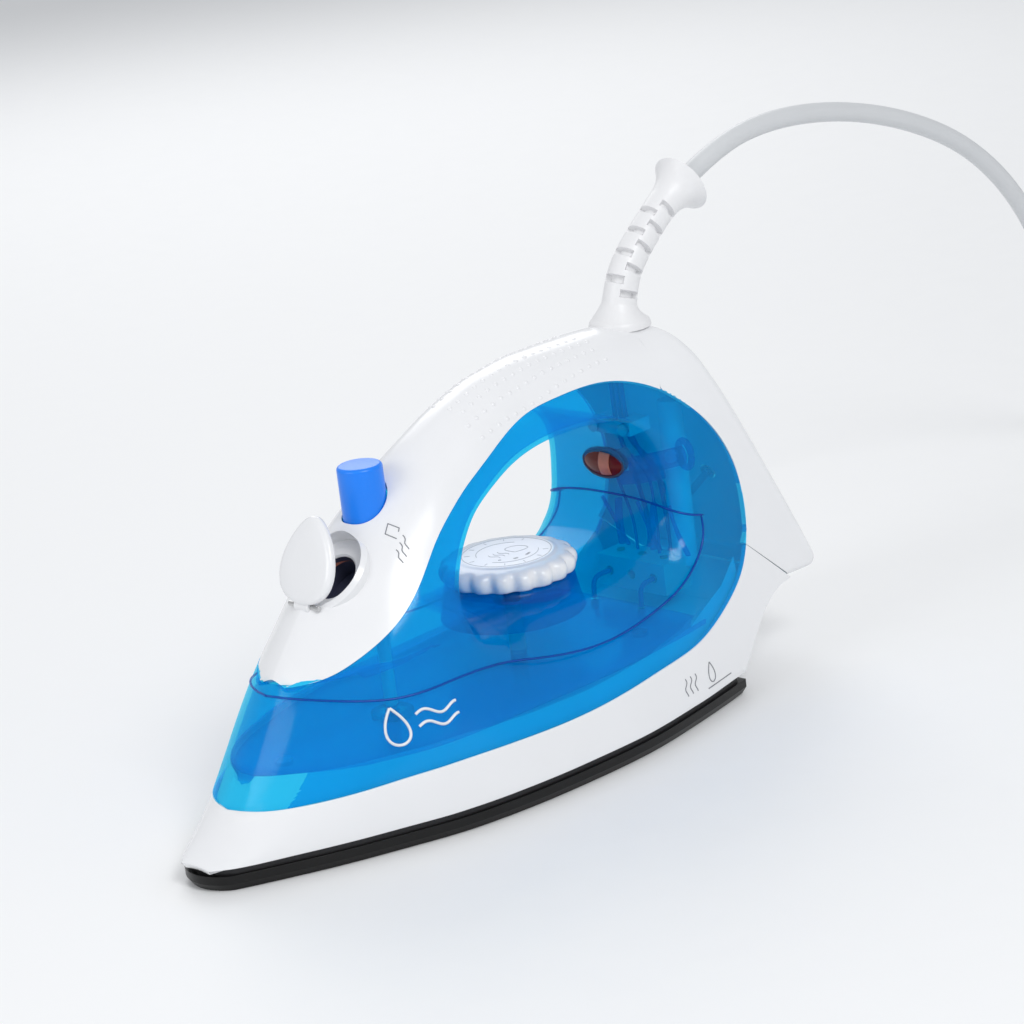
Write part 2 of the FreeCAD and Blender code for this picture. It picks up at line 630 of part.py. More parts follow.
ELEMENT_R = 3.2
ELEMENT_Z = CASTING_TOP - 1.5
element_route = []
for side, shares in ((1, (0.74, 0.6, 0.42, 0.28, 0.2)), (-1, (0.2, 0.28, 0.42, 0.6, 0.74))):
    for share in shares:
        reach = min(half_width(share * L) - INSET - 16, 26)
        element_route.append(Vector(share * L, side * max(reach, 5.5), ELEMENT_Z))
element_route[0].y, element_route[-1].y = 12, -12
element, _, _ = tube(element_route, ELEMENT_R)
chamber_shares = (0.25, 0.52)
rim = rounded_back(plan(RIM, SOLE, BASE, NOSE_START + 2, SOLE_END - RIM), 6)
block = rounded_back(plan(INSET, BASE, CASTING_TOP, 0.13 * L, SOLE_END - INSET), 8)
chamber = plan(INSET + 24, SOLE + 2.5, CASTING_TOP, chamber_shares[0] * L, chamber_shares[1] * L)
casting = rim.fuse(block).cut(chamber).cut(element)
for hole in steam_holes(SOLE - 1, SOLE + 6) + SOLE_SCREW_HOLES:
    casting = casting.cut(hole)
feature("sole_casting_body", casting, "sole_casting")
feature("heating_element_tube", element, "heating_element")

GASKET = 0.8
COVER = size("cover_thick")
chamber_rim = plan(INSET + 21.5, CASTING_TOP, CASTING_TOP + GASKET, 0.235 * L, 0.53 * L)
nozzle_hole = post(size("nozzle_radius") + 0.1, 0, FAR, button_x)
element_space, _, _ = tube(element_route, ELEMENT_R + 0.2)
base_space = post(size("thermostat_radius") + 0.2, 0, FAR, dial_x)
chamber_rim = chamber_rim.cut(plan(INSET + 24, 0, FAR, chamber_shares[0] * L, chamber_shares[1] * L))
feature("chamber_gasket_ring", chamber_rim.cut(element_space).cut(base_space), "chamber_gasket")
lid_plate = plan(INSET + 21.5, CASTING_TOP + GASKET, CASTING_TOP + GASKET + COVER, 0.235 * L, 0.53 * L)
lid_plate = lid_plate.cut(nozzle_hole).cut(element_space).cut(base_space)
feature("steam_chamber_plate", lid_plate, "steam_chamber_cover")

SHIELD = size("shield_base")
shield = plan(INSET - 3, SHIELD, SHIELD + size("shield_thick"), 0.13 * L, SOLE_END - 14)
for hole in [nozzle_hole, post(size("thermostat_radius") + 0.6, 0, FAR, dial_x)] + [
        post(4.2, 0, FAR, 0.74 * L, y) for y in (-12, 12)] + SOLE_SCREW_HOLES:
    shield = shield.cut(hole)
FUSE = Vector(0.665 * L, -6, CASTING_TOP + 2.2)
shield = shield.cut(Part.makeCylinder(2.5, 14.8, FUSE - Vector(0.4, 0, 0), Vector(1, 0, 0)))
shield = shield.common(deck_form(size("lip_gap") + WALL + 0.2))
feature("heat_shield_sheet", shield, "heat_shield")

keep(join("heater_terminal_pair", *[
    cylinder(f"heater_terminal_{k}", 1.6, "Dims.deck_base + Dims.deck_thick + 4 - Dims.casting_top - 1.7",
             "Dims.overall_length * 0.74", y, "Dims.casting_top + 1.7") for k, y in enumerate((-12, 12))]),
    "heater_terminals")

# ---------------------------------------------------------------- thermostat, its shaft and the dial

BASE_Z = "Dims.casting_top"
SHAFT_Z = f"({BASE_Z} + 7.5)"
keep(ring("thermostat_base", "Dims.thermostat_radius", "Dims.shaft_radius + Dims.free_gap", 7,
          DIAL_X, 0, BASE_Z), "thermostat_base")
blade_x = f"{DIAL_X} + Dims.thermostat_radius + 0.3"
keep(join("thermostat_blade_set", box("bimetal_blade", 22, 6, 0.6, blade_x, 0, f"{BASE_Z} + 1.2"),
          box("contact_blade", 16, 5, 0.5, blade_x, 0, f"{BASE_Z} + 2.8"),
          cylinder("blade_rivet", 1.6, 3.4, f"{blade_x} + 12", 0, BASE_Z)), "thermostat_blades")
keep(join("thermostat_shaft_bar",
          cylinder("shaft_bar", "Dims.shaft_radius", f"Dims.dial_base - {SHAFT_Z}", DIAL_X, 0, SHAFT_Z),
          cylinder("shaft_cam", 6, 2.5, DIAL_X, 0, f"{SHAFT_Z} + 0.5"),
          cylinder("shaft_top", "Dims.shaft_radius - 0.8", 5, DIAL_X, 0, "Dims.dial_base")), "thermostat_shaft")
keep(ring("dial_spring_ring", "Dims.column_radius - Dims.column_wall - 0.5",
          "Dims.shaft_radius + 0.05", 1.2, DIAL_X, 0, "Dims.dial_base - 10"), "dial_spring_washer")

DIAL_R, DIAL_LOW, DIAL_TALL = size("dial_radius"), size("dial_base"), size("dial_height")
GRIPS = int(size("dial_grips"))


def dial():
    """Round knob: scalloped skirt, bevelled shoulder and a flat printed top, hollow underneath."""
    profile = [(0, DIAL_LOW + DIAL_TALL), (0.69 * DIAL_R, DIAL_LOW + DIAL_TALL),
               (0.76 * DIAL_R, DIAL_LOW + DIAL_TALL - 0.5), (DIAL_R - 1, DIAL_LOW + DIAL_TALL - 2.2),
               (DIAL_R, DIAL_LOW + DIAL_TALL - 3.6), (DIAL_R - 0.6, DIAL_LOW), (DIAL_R - 2.6, DIAL_LOW),
               (DIAL_R - 3, DIAL_LOW + DIAL_TALL - 4.4), (SHAFT_R + 3, DIAL_LOW + DIAL_TALL - 3),
               (SHAFT_R + 3, DIAL_LOW), (0, DIAL_LOW)]
    points = [Vector(r, 0, z) for r, z in profile]
    body = Part.Face(Part.makePolygon(points + points[:1])).revolve(Vector(), Vector(0, 0, 1), 360)
    grip = size("dial_grip_radius")
    for k in range(GRIPS):
        turn = 2 * math.pi * (k + 0.5) / GRIPS
        out = DIAL_R + grip * 0.62
        spot = Vector(out * math.cos(turn), out * math.sin(turn), DIAL_LOW - 1)
        body = body.cut(Part.makeCylinder(grip * 1.3, DIAL_TALL + 2, spot))
    body = body.cut(Part.makeCylinder(SHAFT_R - 0.8, 5, Vector(0, 0, DIAL_LOW)))
    body.translate(Vector(dial_x, 0, 0))
    return body


feature("dial_knob", dial(), "thermostat_dial")
keep(cylinder("thermal_fuse_can", 2.2, 14, "Dims.overall_length * 0.665", "-6", "Dims.casting_top + 2.2", "X"),
     "thermal_fuse")

# ---------------------------------------------------------------- steam button, rod, spring, drip valve

button = post(BUTTON_R, button_base, button_base + size("button_height"), button_x)
button = button.makeFillet(1.4, [e for e in button.Edges if e.BoundBox.ZMin > button_base + 20])
feature("steam_button_cap", button, "steam_button")
ROD_FOOT = TANK_FLOOR_TOP + 0.5
rod = post(ROD_R, ROD_FOOT, button_base, button_x).fuse(
    Part.makeCone(0.6, ROD_R, 3, Vector(button_x, 0, ROD_FOOT - 3)))
feature("steam_rod_bar", rod, "steam_rod")
SPRING_R, WIRE = size("spring_radius"), size("spring_wire")
spring_low, spring_high = TOWER_TOP - 8, button_base - 0.05
collar = post(SPRING_R + WIRE, spring_low - 1.5, spring_low, button_x)
collar = collar.cut(post(size("tower_radius"), 0, FAR, button_x))
feature("spring_seat_ring", collar, "spring_seat")
spring_body = post(SPRING_R + WIRE, spring_low, spring_high, button_x).cut(
    post(SPRING_R - WIRE, 0, FAR, button_x))
feature("steam_spring_coil", spring_body, "steam_spring")
nozzle = post(size("nozzle_radius"), CASTING_TOP + GASKET, TANK_BASE - 0.1, button_x).cut(
    post(1.6, 0, FAR, button_x)).cut(Part.makeCone(ROD_R + 0.4, 1.6, 6, Vector(button_x, 0, TANK_BASE - 0.1),
                                                   Vector(0, 0, -1)))
feature("drip_nozzle_body", nozzle, "drip_nozzle")
seal_low = DECK_TOP
seal = post(size("nozzle_radius") + 3, seal_low, TANK_BASE, button_x).cut(nozzle_hole)
feature("nozzle_seal_ring", seal, "nozzle_seal")
neck_ring = post(NECK_R, ROOF, FAR, NECK_X).cut(post(FILLER_R, 0, FAR, NECK_X))
feature("filler_seal_ring", neck_ring.common(lid_space(NECK_R * 2, SEAL_TOP - 1.5, SEAL_TOP)), "filler_seal")

# ---------------------------------------------------------------- lamp, terminals, wires

NEON_X = lamp_x + WALL + 3.5
NEON_LONG = 7
neon = Part.makeCylinder(2.6, NEON_LONG, Vector(NEON_X, 0, LAMP_Z), Vector(1, 0, 0))
feature("neon_lamp_bulb", neon, "neon_lamp")

BLOCK_Z = 36
TERMINALS = (-11, 0, 11)
block = Part.makeBox(14, 34, 12, Vector(terminal_x - 7, -17, BLOCK_Z))
for y in TERMINALS:
    block = block.cut(Part.makeCylinder(1.9, 14, Vector(terminal_x - 7, y, BLOCK_Z + 6), Vector(1, 0, 0)))
    block = block.cut(post(1.6, BLOCK_Z + 6, BLOCK_Z + 12, terminal_x, y))
feature("terminal_block_body", block, "terminal_block")
screws = [post(1.55, BLOCK_Z + 7.9, BLOCK_Z + 12.6, terminal_x, y) for y in TERMINALS]
feature("terminal_screw_set", Part.makeCompound(screws), "terminal_screws")

lead_top = Vector(ANCHOR.x - 0.5, 0, ANCHOR.z - 7)
CLAMP_Z = 0.72 * TOP
wires = []
for y in TERMINALS:
    back = 0 if y else 7  # the middle wire passes behind the lamp
    wires.append(tube([Vector(terminal_x + 7, y, BLOCK_Z + 6), Vector(terminal_x + 16, y, BLOCK_Z + 8),
                       Vector(terminal_x + 15, y * 0.9, BLOCK_Z + 22),
                       Vector(terminal_x + 6 + back, y * 0.5, BLOCK_Z + 42),
                       Vector(lead_top.x + 1, y * 0.25, CLAMP_Z - 4), Vector(lead_top.x, y * 0.22, lead_top.z)],
                      0.95)[0])
feature("mains_wire_set", Part.makeCompound(wires), "mains_wires")
heater_wires = []
for side in (-1, 1):
    top_z = DECK_TOP + 4.5
    heater_wires.append(tube([Vector(0.74 * L, side * 12, top_z), Vector(0.74 * L + 0.6, side * 12, BLOCK_Z + 6),
                              Vector(terminal_x - 7, side * 11, BLOCK_Z + 6)], 0.95)[0])
feature("heater_wire_set", Part.makeCompound(heater_wires), "heater_wires")
lamp_wires = []
for side in (-1, 1):
    lamp_wires.append(tube([Vector(NEON_X + NEON_LONG + 0.7, side * 1.3, LAMP_Z),
                            Vector(NEON_X + NEON_LONG + 2, side * 9, LAMP_Z - 8),
                            Vector(terminal_x + 3.5, side * 6, BLOCK_Z + 24),
                            Vector(terminal_x + 3.5, side * 5.5, BLOCK_Z + 12)], 0.6)[0])
feature("lamp_lead_pair", Part.makeCompound(lamp_wires), "lamp_leads")
clamp = Part.makeBox(11, 20, 5, Vector(lead_top.x - 5.5, -10, CLAMP_Z - 2.5)).cut(
    Part.makeCylinder(3.8, 9, Vector(lead_top.x, 0, CLAMP_Z - 4.5)))
clamp_bolts = [Vector(lead_top.x - 6, y, CLAMP_Z) for y in (-7.5, 7.5)]
for spot in clamp_bolts:
    clamp = clamp.cut(Part.makeCylinder(1.3, 12, spot, Vector(1, 0, 0)))
for wire in wires:
    clamp = clamp.cut(wire)
feature("cord_clamp_bar", clamp, "cord_clamp")
clamp_screws = [Part.makeCylinder(1.3, 10, s + Vector(0.5, 0, 0), Vector(1, 0, 0)).fuse(
    Part.makeCylinder(2.4, 1.4, s + Vector(-0.9, 0, 0), Vector(1, 0, 0))) for s in clamp_bolts]
feature("clamp_screw_pair", Part.makeCompound(clamp_screws), "clamp_screws")
screw = Part.makeCylinder(1.45, 14, screw_head + screw_line * 2.2, screw_line).fuse(
    Part.makeCylinder(2.9, 1.7, screw_head + screw_line * 0.75, screw_line))
feature("rear_cover_screw_bar", screw, "rear_cover_screw")
sole_screws = [post(SCREW_R, CASTING_TOP - 6, DECK_TOP, x, y).fuse(post(3.2, DECK_TOP, DECK_TOP + 1.6, x, y))
               for x, y in SOLE_SPOTS]
feature("sole_screw_set", Part.makeCompound(sole_screws), "sole_screws")

# ---------------------------------------------------------------- strain relief and mains lead

CORD_R = size("cord_diameter") / 2
BOOT_R = size("boot_radius")
boot_x, boot_z = 0.8 * L, top(0.79 * L)
BOOT_ROUTE = [(0.0, 1.0, 90), (1.6, 8, 82), (4.6, 14.5, 62), (10.5, 22, 50), (17, 27.8, 42), (24, 33.6, 36),
              (31, 38, 30), (35.2, 40.1, 27), (40, 42.4, 26)]
BOOT_RADII = [1.06, 1.03, 1.0, 0.98, 0.97, 0.97, 1.1, 1.4, 1.95]


def ring_at(step, radius):
    """A circle square to the strain relief's middle line at one of its steps."""
    run, rise, lean = BOOT_ROUTE[step]
    turn = math.radians(lean)
    return Part.Wire(Part.makeCircle(radius, Vector(boot_x + run, 0, boot_z + rise),
                                     Vector(math.cos(turn), 0, math.sin(turn))))


stem = Part.makeLoft([ring_at(k, BOOT_R * f) for k, f in enumerate(BOOT_RADII)], True, False)
flange = Part.makeCone(13.5, BOOT_R + 0.3, 17, Vector(boot_x - 6, 0, boot_z - 9), Vector(0.32, 0, 1)).cut(outer)
boot = stem.fuse(flange).cut(outer)
grooves = []
for k, along in enumerate((0.9, 1.9, 2.75, 3.45, 4.15, 4.8, 5.45)):
    step = int(along)
    part = along - step
    low, high = BOOT_ROUTE[step], BOOT_ROUTE[step + 1]
    spot = Vector(boot_x + low[0] + (high[0] - low[0]) * part, 0, boot_z + low[1] + (high[1] - low[1]) * part)
    lean = low[2] + (high[2] - low[2]) * part
    for side in (1, -1):
        if k % 2:
            groove = Part.makeBox(2.2, 8, 5, Vector(-1.1, -4, side * (CORD_R + 0.8 + 2.5) - 2.5))
        else:
            groove = Part.makeBox(2.2, 5, 8, Vector(-1.1, side * (CORD_R + 0.8 + 2.5) - 2.5, -4))
        groove.rotate(Vector(), Vector(0, -1, 0), lean)
        groove.translate(spot)
        grooves.append(groove)
boot = boot.cut(Part.makeCompound(grooves))
feature("cord_boot_body", boot, "cord_boot")

EXIT = Vector(boot_x + BOOT_ROUTE[-1][0], 0, boot_z + BOOT_ROUTE[-1][1])
ROUTE = [(0, 0, 0), (21, 0, 9.5), (53, 0, 13), (92, 0, 8), (131, -1, -4), (167, -1, -22), (196, 0, -47),
         (218, 3, -77), (237, 7, -107), (259, 12, -134), (287, 17, -156), (322, 20, -170), (357, 20, None),
         (385, 20, None)]
route = [Vector(EXIT.x + x, y, CORD_R + 0.1 if z is None else EXIT.z + z) for x, y, z in ROUTE]
cord, cord_length, radii = tube(route, CORD_R)
print("lead radii", [round(r) for r in radii], "length", round(cord_length),
      "volume over section x length", round(cord.Volume / (cord_length * math.pi * CORD_R ** 2), 4))
feature("power_cord_tube", cord, "power_cord")
COIL_R, COIL_TALL = 42, 6 * CORD_R
coil_middle = Vector(route[-1].x + 4, route[-1].y - COIL_R, 0)
coil = post(COIL_R + 2 * CORD_R, 0.05, COIL_TALL, coil_middle.x, coil_middle.y).cut(
    post(COIL_R - 2 * CORD_R, -1, FAR, coil_middle.x, coil_middle.y))
feature("cord_coil_ring", coil, "cord_coil")
plug_spot = coil_middle + Vector(-16, 26, COIL_TALL)
plug = Part.makeBox(36, 28, 15, plug_spot + Vector(0, -14, 0))
plug = plug.makeFillet(4, [e for e in plug.Edges if e.BoundBox.XLength > 30])
feature("plug_body_block", plug, "plug_body")
pins = [Part.makeCylinder(2, 19, plug_spot + Vector(36, y, 7.5 + z), Vector(1, 0, 0))
        for y, z in ((-9.5, 0), (0, 2.2), (9.5, 0))]
feature("plug_pin_set", Part.makeCompound(pins), "plug_pins")

# ---------------------------------------------------------------- check and write

doc.recompute()
for made in doc.Objects:
    if {"Invalid", "Error"} & set(made.State):
        raise RuntimeError(f"{made.Name} failed: {made.State}")
for made in nodes:
    if made.Shape.isNull() or not made.Shape.isValid():
        raise RuntimeError(f"{made.Label} has no valid shape")
for made in nodes:
    print(made.Label, [round(s.Volume, 1) for s in made.Shape.Solids])
    made.Shape.exportStep(f"parts/{made.Label}.step")
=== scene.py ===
"""Household steam iron: white casing, see-through blue tank, dial, button, filler lid and mains lead.

Lengths are written in millimetres and turned into metres when a mesh is made. Stations along the
iron are measured from the nose tip of the sole, with +x towards the heel, as in the frame's model.
"""

import json
import logging
import math
from dataclasses import dataclass, field
from enum import Enum

import bmesh
import bpy
import numpy as np
from mathutils import Matrix, Vector


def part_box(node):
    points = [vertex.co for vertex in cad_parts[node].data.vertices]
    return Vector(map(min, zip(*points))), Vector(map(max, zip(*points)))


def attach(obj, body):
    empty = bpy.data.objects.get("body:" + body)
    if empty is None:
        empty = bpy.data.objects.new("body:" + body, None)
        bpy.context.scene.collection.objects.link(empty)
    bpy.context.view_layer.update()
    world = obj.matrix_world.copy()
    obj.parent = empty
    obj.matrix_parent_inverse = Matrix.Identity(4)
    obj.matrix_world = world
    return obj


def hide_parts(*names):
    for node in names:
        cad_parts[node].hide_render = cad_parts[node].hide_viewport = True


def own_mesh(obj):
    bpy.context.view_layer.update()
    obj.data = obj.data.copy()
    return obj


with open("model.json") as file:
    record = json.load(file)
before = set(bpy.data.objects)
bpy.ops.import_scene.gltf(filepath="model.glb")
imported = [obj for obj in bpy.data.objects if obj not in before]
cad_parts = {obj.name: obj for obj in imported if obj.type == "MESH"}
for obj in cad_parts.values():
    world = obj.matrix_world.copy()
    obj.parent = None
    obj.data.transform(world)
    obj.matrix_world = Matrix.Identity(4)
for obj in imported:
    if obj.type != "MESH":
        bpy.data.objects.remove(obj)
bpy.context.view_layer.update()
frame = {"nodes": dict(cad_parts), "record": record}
MM = 0.001
BUTTON_X = 95.0
DIAL_X = 158.0
LOG = logging.getLogger("steam_iron")

Array = np.ndarray
Points = list[tuple[float, float]]


class Side(Enum):
    """Which side of the iron a surface is on."""

    LEFT = 1
    RIGHT = -1


# ---------------------------------------------------------------- meshes from numpy grids


def smooth_table(table: Points, at: Array) -> Array:
    """Reads a curve through (place, value) points that never overshoots.

    Each span is a cubic whose end slopes are the harmonic means of the neighbouring secants, or
    nought where the table turns.

    Args:
        table: places in rising order and their values.
        at: places to read.

    Returns:
        The values, in at's shape.
    """
    xs, ys = np.array(table, float).T
    secants = np.diff(ys) / np.diff(xs)
    product = secants[:-1] * secants[1:]
    total = secants[:-1] + secants[1:]
    inner = np.where(product > 0, 2 * product / np.where(total == 0, 1, total), 0.0)
    slopes = np.concatenate([secants[:1], inner, secants[-1:]])
    at = np.clip(np.asarray(at, float), xs[0], xs[-1])
    i = np.clip(np.searchsorted(xs, at, side="right") - 1, 0, len(xs) - 2)
    step = xs[i + 1] - xs[i]
    u = (at - xs[i]) / step
    return (ys[i] * (1 + 2 * u) * (1 - u) ** 2 + ys[i + 1] * u * u * (3 - 2 * u)
            + step * (slopes[i] * u * (1 - u) ** 2 - slopes[i + 1] * u * u * (1 - u)))


def spline(points: Array, count: int, closed: bool = False) -> Array:
    """Samples a natural cubic spline through points, evenly by chord length.

    Args:
        points: rows of coordinates.
        count: how many samples.
        closed: True for a loop, whose last point isn't repeated.

    Returns:
        count rows on the curve.
    """
    points = np.asarray(points, float)
    wrap = 4
    if closed:
        points = np.concatenate([points[-wrap:], points, points[:wrap + 1]])
    chord = np.concatenate([[0], np.cumsum(np.linalg.norm(np.diff(points, axis=0), axis=1))])
    n = len(points)
    h = np.diff(chord)
    system = np.eye(n)
    right = np.zeros_like(points)
    rows = np.arange(1, n - 1)
    system[rows, rows - 1], system[rows, rows + 1] = h[:-1], h[1:]
    system[rows, rows] = 2 * (h[:-1] + h[1:])
    slope = np.diff(points, axis=0) / h[:, None]
    right[1:-1] = 6 * np.diff(slope, axis=0)
    bend = np.linalg.solve(system, right)
    start, stop = (chord[wrap], chord[-wrap - 1]) if closed else (chord[0], chord[-1])
    at = np.linspace(start, stop, count, endpoint=not closed)
    i = np.clip(np.searchsorted(chord, at, side="right") - 1, 0, n - 2)
    a, b, w = (chord[i + 1] - at)[:, None], (at - chord[i])[:, None], h[i][:, None]
    return (bend[i] * a ** 3 / (6 * w) + bend[i + 1] * b ** 3 / (6 * w)
            + (points[i] / w - bend[i] * w / 6) * a + (points[i + 1] / w - bend[i + 1] * w / 6) * b)


def grid_object(name: str, grid: Array, closed_u: bool = False, closed_v: bool = False,
                sharp: float = 40.0) -> bpy.types.Object:
    """Makes a mesh object from a grid of points given in millimetres from the nose.

    Args:
        name: the object's name.
        grid: points as rows by columns by three.
        closed_u: joins the last row to the first.
        closed_v: joins the last column to the first.
        sharp: edges bent more than this many degrees stay sharp.

    Returns:
        The new object, at the origin.
    """
    rows, columns = grid.shape[:2]
    index = np.arange(rows * columns).reshape(rows, columns)
    if closed_u:
        index = np.concatenate([index, index[:1]])
    if closed_v:
        index = np.concatenate([index, index[:, :1]], axis=1)
    faces = np.stack([index[:-1, :-1], index[1:, :-1], index[1:, 1:], index[:-1, 1:]], -1).reshape(-1, 4)
    return mesh_object(name, grid.reshape(-1, 3), faces, sharp)


def mesh_object(name: str, points: Array, faces: Array, sharp: float = 40.0) -> bpy.types.Object:
    """Makes a mesh object from points in millimetres from the nose and faces of four corners.

    Args:
        name: the object's name.
        points: rows of x, y, z.
        faces: rows of corner numbers.
        sharp: edges bent more than this many degrees stay sharp.

    Returns:
        The new object, at the origin, with doubles merged and its faces pointing outwards.
    """
    mesh = bpy.data.meshes.new(name)
    placed = (points + np.array([-IRON.length / 2, 0, 0])) * MM
    mesh.from_pydata(placed.tolist(), [], faces.tolist())
    return finished(name, mesh, sharp)


def finished(name: str, mesh: bpy.types.Mesh, sharp: float = 40.0, weld: float = 1e-5) -> bpy.types.Object:
    """Merges a mesh's doubles, turns its faces outwards and links it as an object.

    Args:
        name: the object's name.
        mesh: the mesh, in metres.
        sharp: edges bent more than this many degrees stay sharp.
        weld: points nearer than this, in metres, become one.

    Returns:
        The object.
    """
    work = bmesh.new()
    work.from_mesh(mesh)
    bmesh.ops.remove_doubles(work, verts=work.verts, dist=weld)
    bmesh.ops.dissolve_degenerate(work, dist=1e-7, edges=work.edges)
    bmesh.ops.recalc_face_normals(work, faces=work.faces)
    limit = math.radians(sharp)
    for edge in work.edges:
        edge.smooth = len(edge.link_faces) != 2 or edge.calc_face_angle() < limit
    for face in work.faces:
        face.smooth = True
    work.to_mesh(mesh)
    work.free()
    made = bpy.data.objects.new(name, mesh)
    bpy.context.scene.collection.objects.link(made)
    return made


def solidify(made: bpy.types.Object, thickness: float, bevel: float = 0.35) -> None:
    """Gives a surface a wall inwards and softens the wall's rim.

    Args:
        made: the surface.
        thickness: the wall, in millimetres.
        bevel: the radius on the rim, in millimetres, or nought for none.
    """
    wall = made.modifiers.new("wall", "SOLIDIFY")
    wall.thickness = thickness * MM
    wall.offset = -1
    wall.use_even_offset = False
    if bevel:
        edge = made.modifiers.new("rim", "BEVEL")
        edge.width = bevel * MM
        edge.segments = 2
        edge.limit_method = "ANGLE"
        edge.angle_limit = math.radians(50)
        edge.harden_normals = False


def apply_modifiers(made: bpy.types.Object) -> None:
    """Replaces an object's mesh by what its modifiers make of it."""
    graph = bpy.context.evaluated_depsgraph_get()
    mesh = bpy.data.meshes.new_from_object(made.evaluated_get(graph), depsgraph=graph)
    made.modifiers.clear()
    made.data = mesh


def carve(made: bpy.types.Object, cutters: list[bpy.types.Object]) -> None:
    """Cuts closed shapes out of an object and deletes them.

    Args:
        made: the object that is cut.
        cutters: the closed shapes.
    """
    for cutter in cutters:
        cut = made.modifiers.new("cut", "BOOLEAN")
        cut.object = cutter
        cut.operation = "DIFFERENCE"
        cut.solver = "EXACT"
    apply_modifiers(made)
    for cutter in cutters:
        bpy.data.objects.remove(cutter)


def again(made: bpy.types.Object, sharp: float = 38.0) -> bpy.types.Object:
    """Finishes a carved object's mesh afresh, with its edges marked."""
    name, mesh = made.name, made.data
    bpy.data.objects.remove(made)
    made = finished(name, mesh, sharp)
    made.name = name
    return made


def revolve(name: str, profile: Points, centre: tuple[float, float], count: int = 96,
            ripple: Array | None = None, sharp: float = 35.0) -> bpy.types.Object:
    """Turns a profile of (radius, height) about an upright axis.

    Args:
        name: the object's name.
        profile: radii and heights from the axis at the top to the axis at the bottom.
        centre: the axis's x and y.
        count: steps round the turn.
        ripple: factors on the radius, profile rows by turn columns, for a shape that isn't round.
        sharp: edges bent more than this many degrees stay sharp.

    Returns:
        The closed shape.
    """
    radius, height = np.array(profile, float).T
    turn = np.linspace(0, 2 * math.pi, count, endpoint=False)
    factor = np.ones((len(radius), count)) if ripple is None else ripple
    x = centre[0] + radius[:, None] * factor * np.cos(turn)
    y = centre[1] + radius[:, None] * factor * np.sin(turn)
    z = np.repeat(height[:, None], count, 1)
    return grid_object(name, np.stack([x, y, z], -1), closed_v=True, sharp=sharp)


def bead(name: str, path: Array, radius: float, sides: int = 8, closed: bool = False,
         flat: float = 1.0) -> bpy.types.Object:
    """Lays a thin round bar along a path: a circle carried square to the path's direction.

    Args:
        name: the object's name.
        path: rows of x, y, z in millimetres.
        radius: the bar's radius.
        sides: points round the circle.
        closed: joins the end to the start.
        flat: the circle's height as a share of its width.

    Returns:
        The bar.
    """
    ahead = np.roll(path, -1, 0) - np.roll(path, 1, 0)
    if not closed:
        ahead[0], ahead[-1] = path[1] - path[0], path[-1] - path[-2]
    ahead /= np.linalg.norm(ahead, axis=1)[:, None]
    up = np.array([0.05, 0.1, 1.0])
    side = np.cross(ahead, up)
    side /= np.linalg.norm(side, axis=1)[:, None]
    rise = np.cross(side, ahead)
    turn = np.linspace(0, 2 * math.pi, sides, endpoint=False)
    grid = (path[:, None] + radius * (side[:, None] * np.cos(turn)[None, :, None]
                                      + flat * rise[:, None] * np.sin(turn)[None, :, None]))
    if not closed:
        grid = np.concatenate([np.repeat(path[:1, None], sides, 1), grid, np.repeat(path[-1:, None], sides, 1)])
    return grid_object(name, grid, closed_u=closed, closed_v=True, sharp=60)


def joined(name: str, parts: list[bpy.types.Object]) -> bpy.types.Object:
    """Makes several mesh objects one.

    Args:
        name: the name of the result.
        parts: the objects, which are used up.

    Returns:
        One object that holds all their faces.
    """
    work = bmesh.new()
    for part in parts:
        work.from_mesh(part.data)
        bpy.data.objects.remove(part)
    mesh = bpy.data.meshes.new(name)
    work.to_mesh(mesh)
    work.free()
    made = bpy.data.objects.new(name, mesh)
    bpy.context.scene.collection.objects.link(made)
    return made


# ---------------------------------------------------------------- finishes


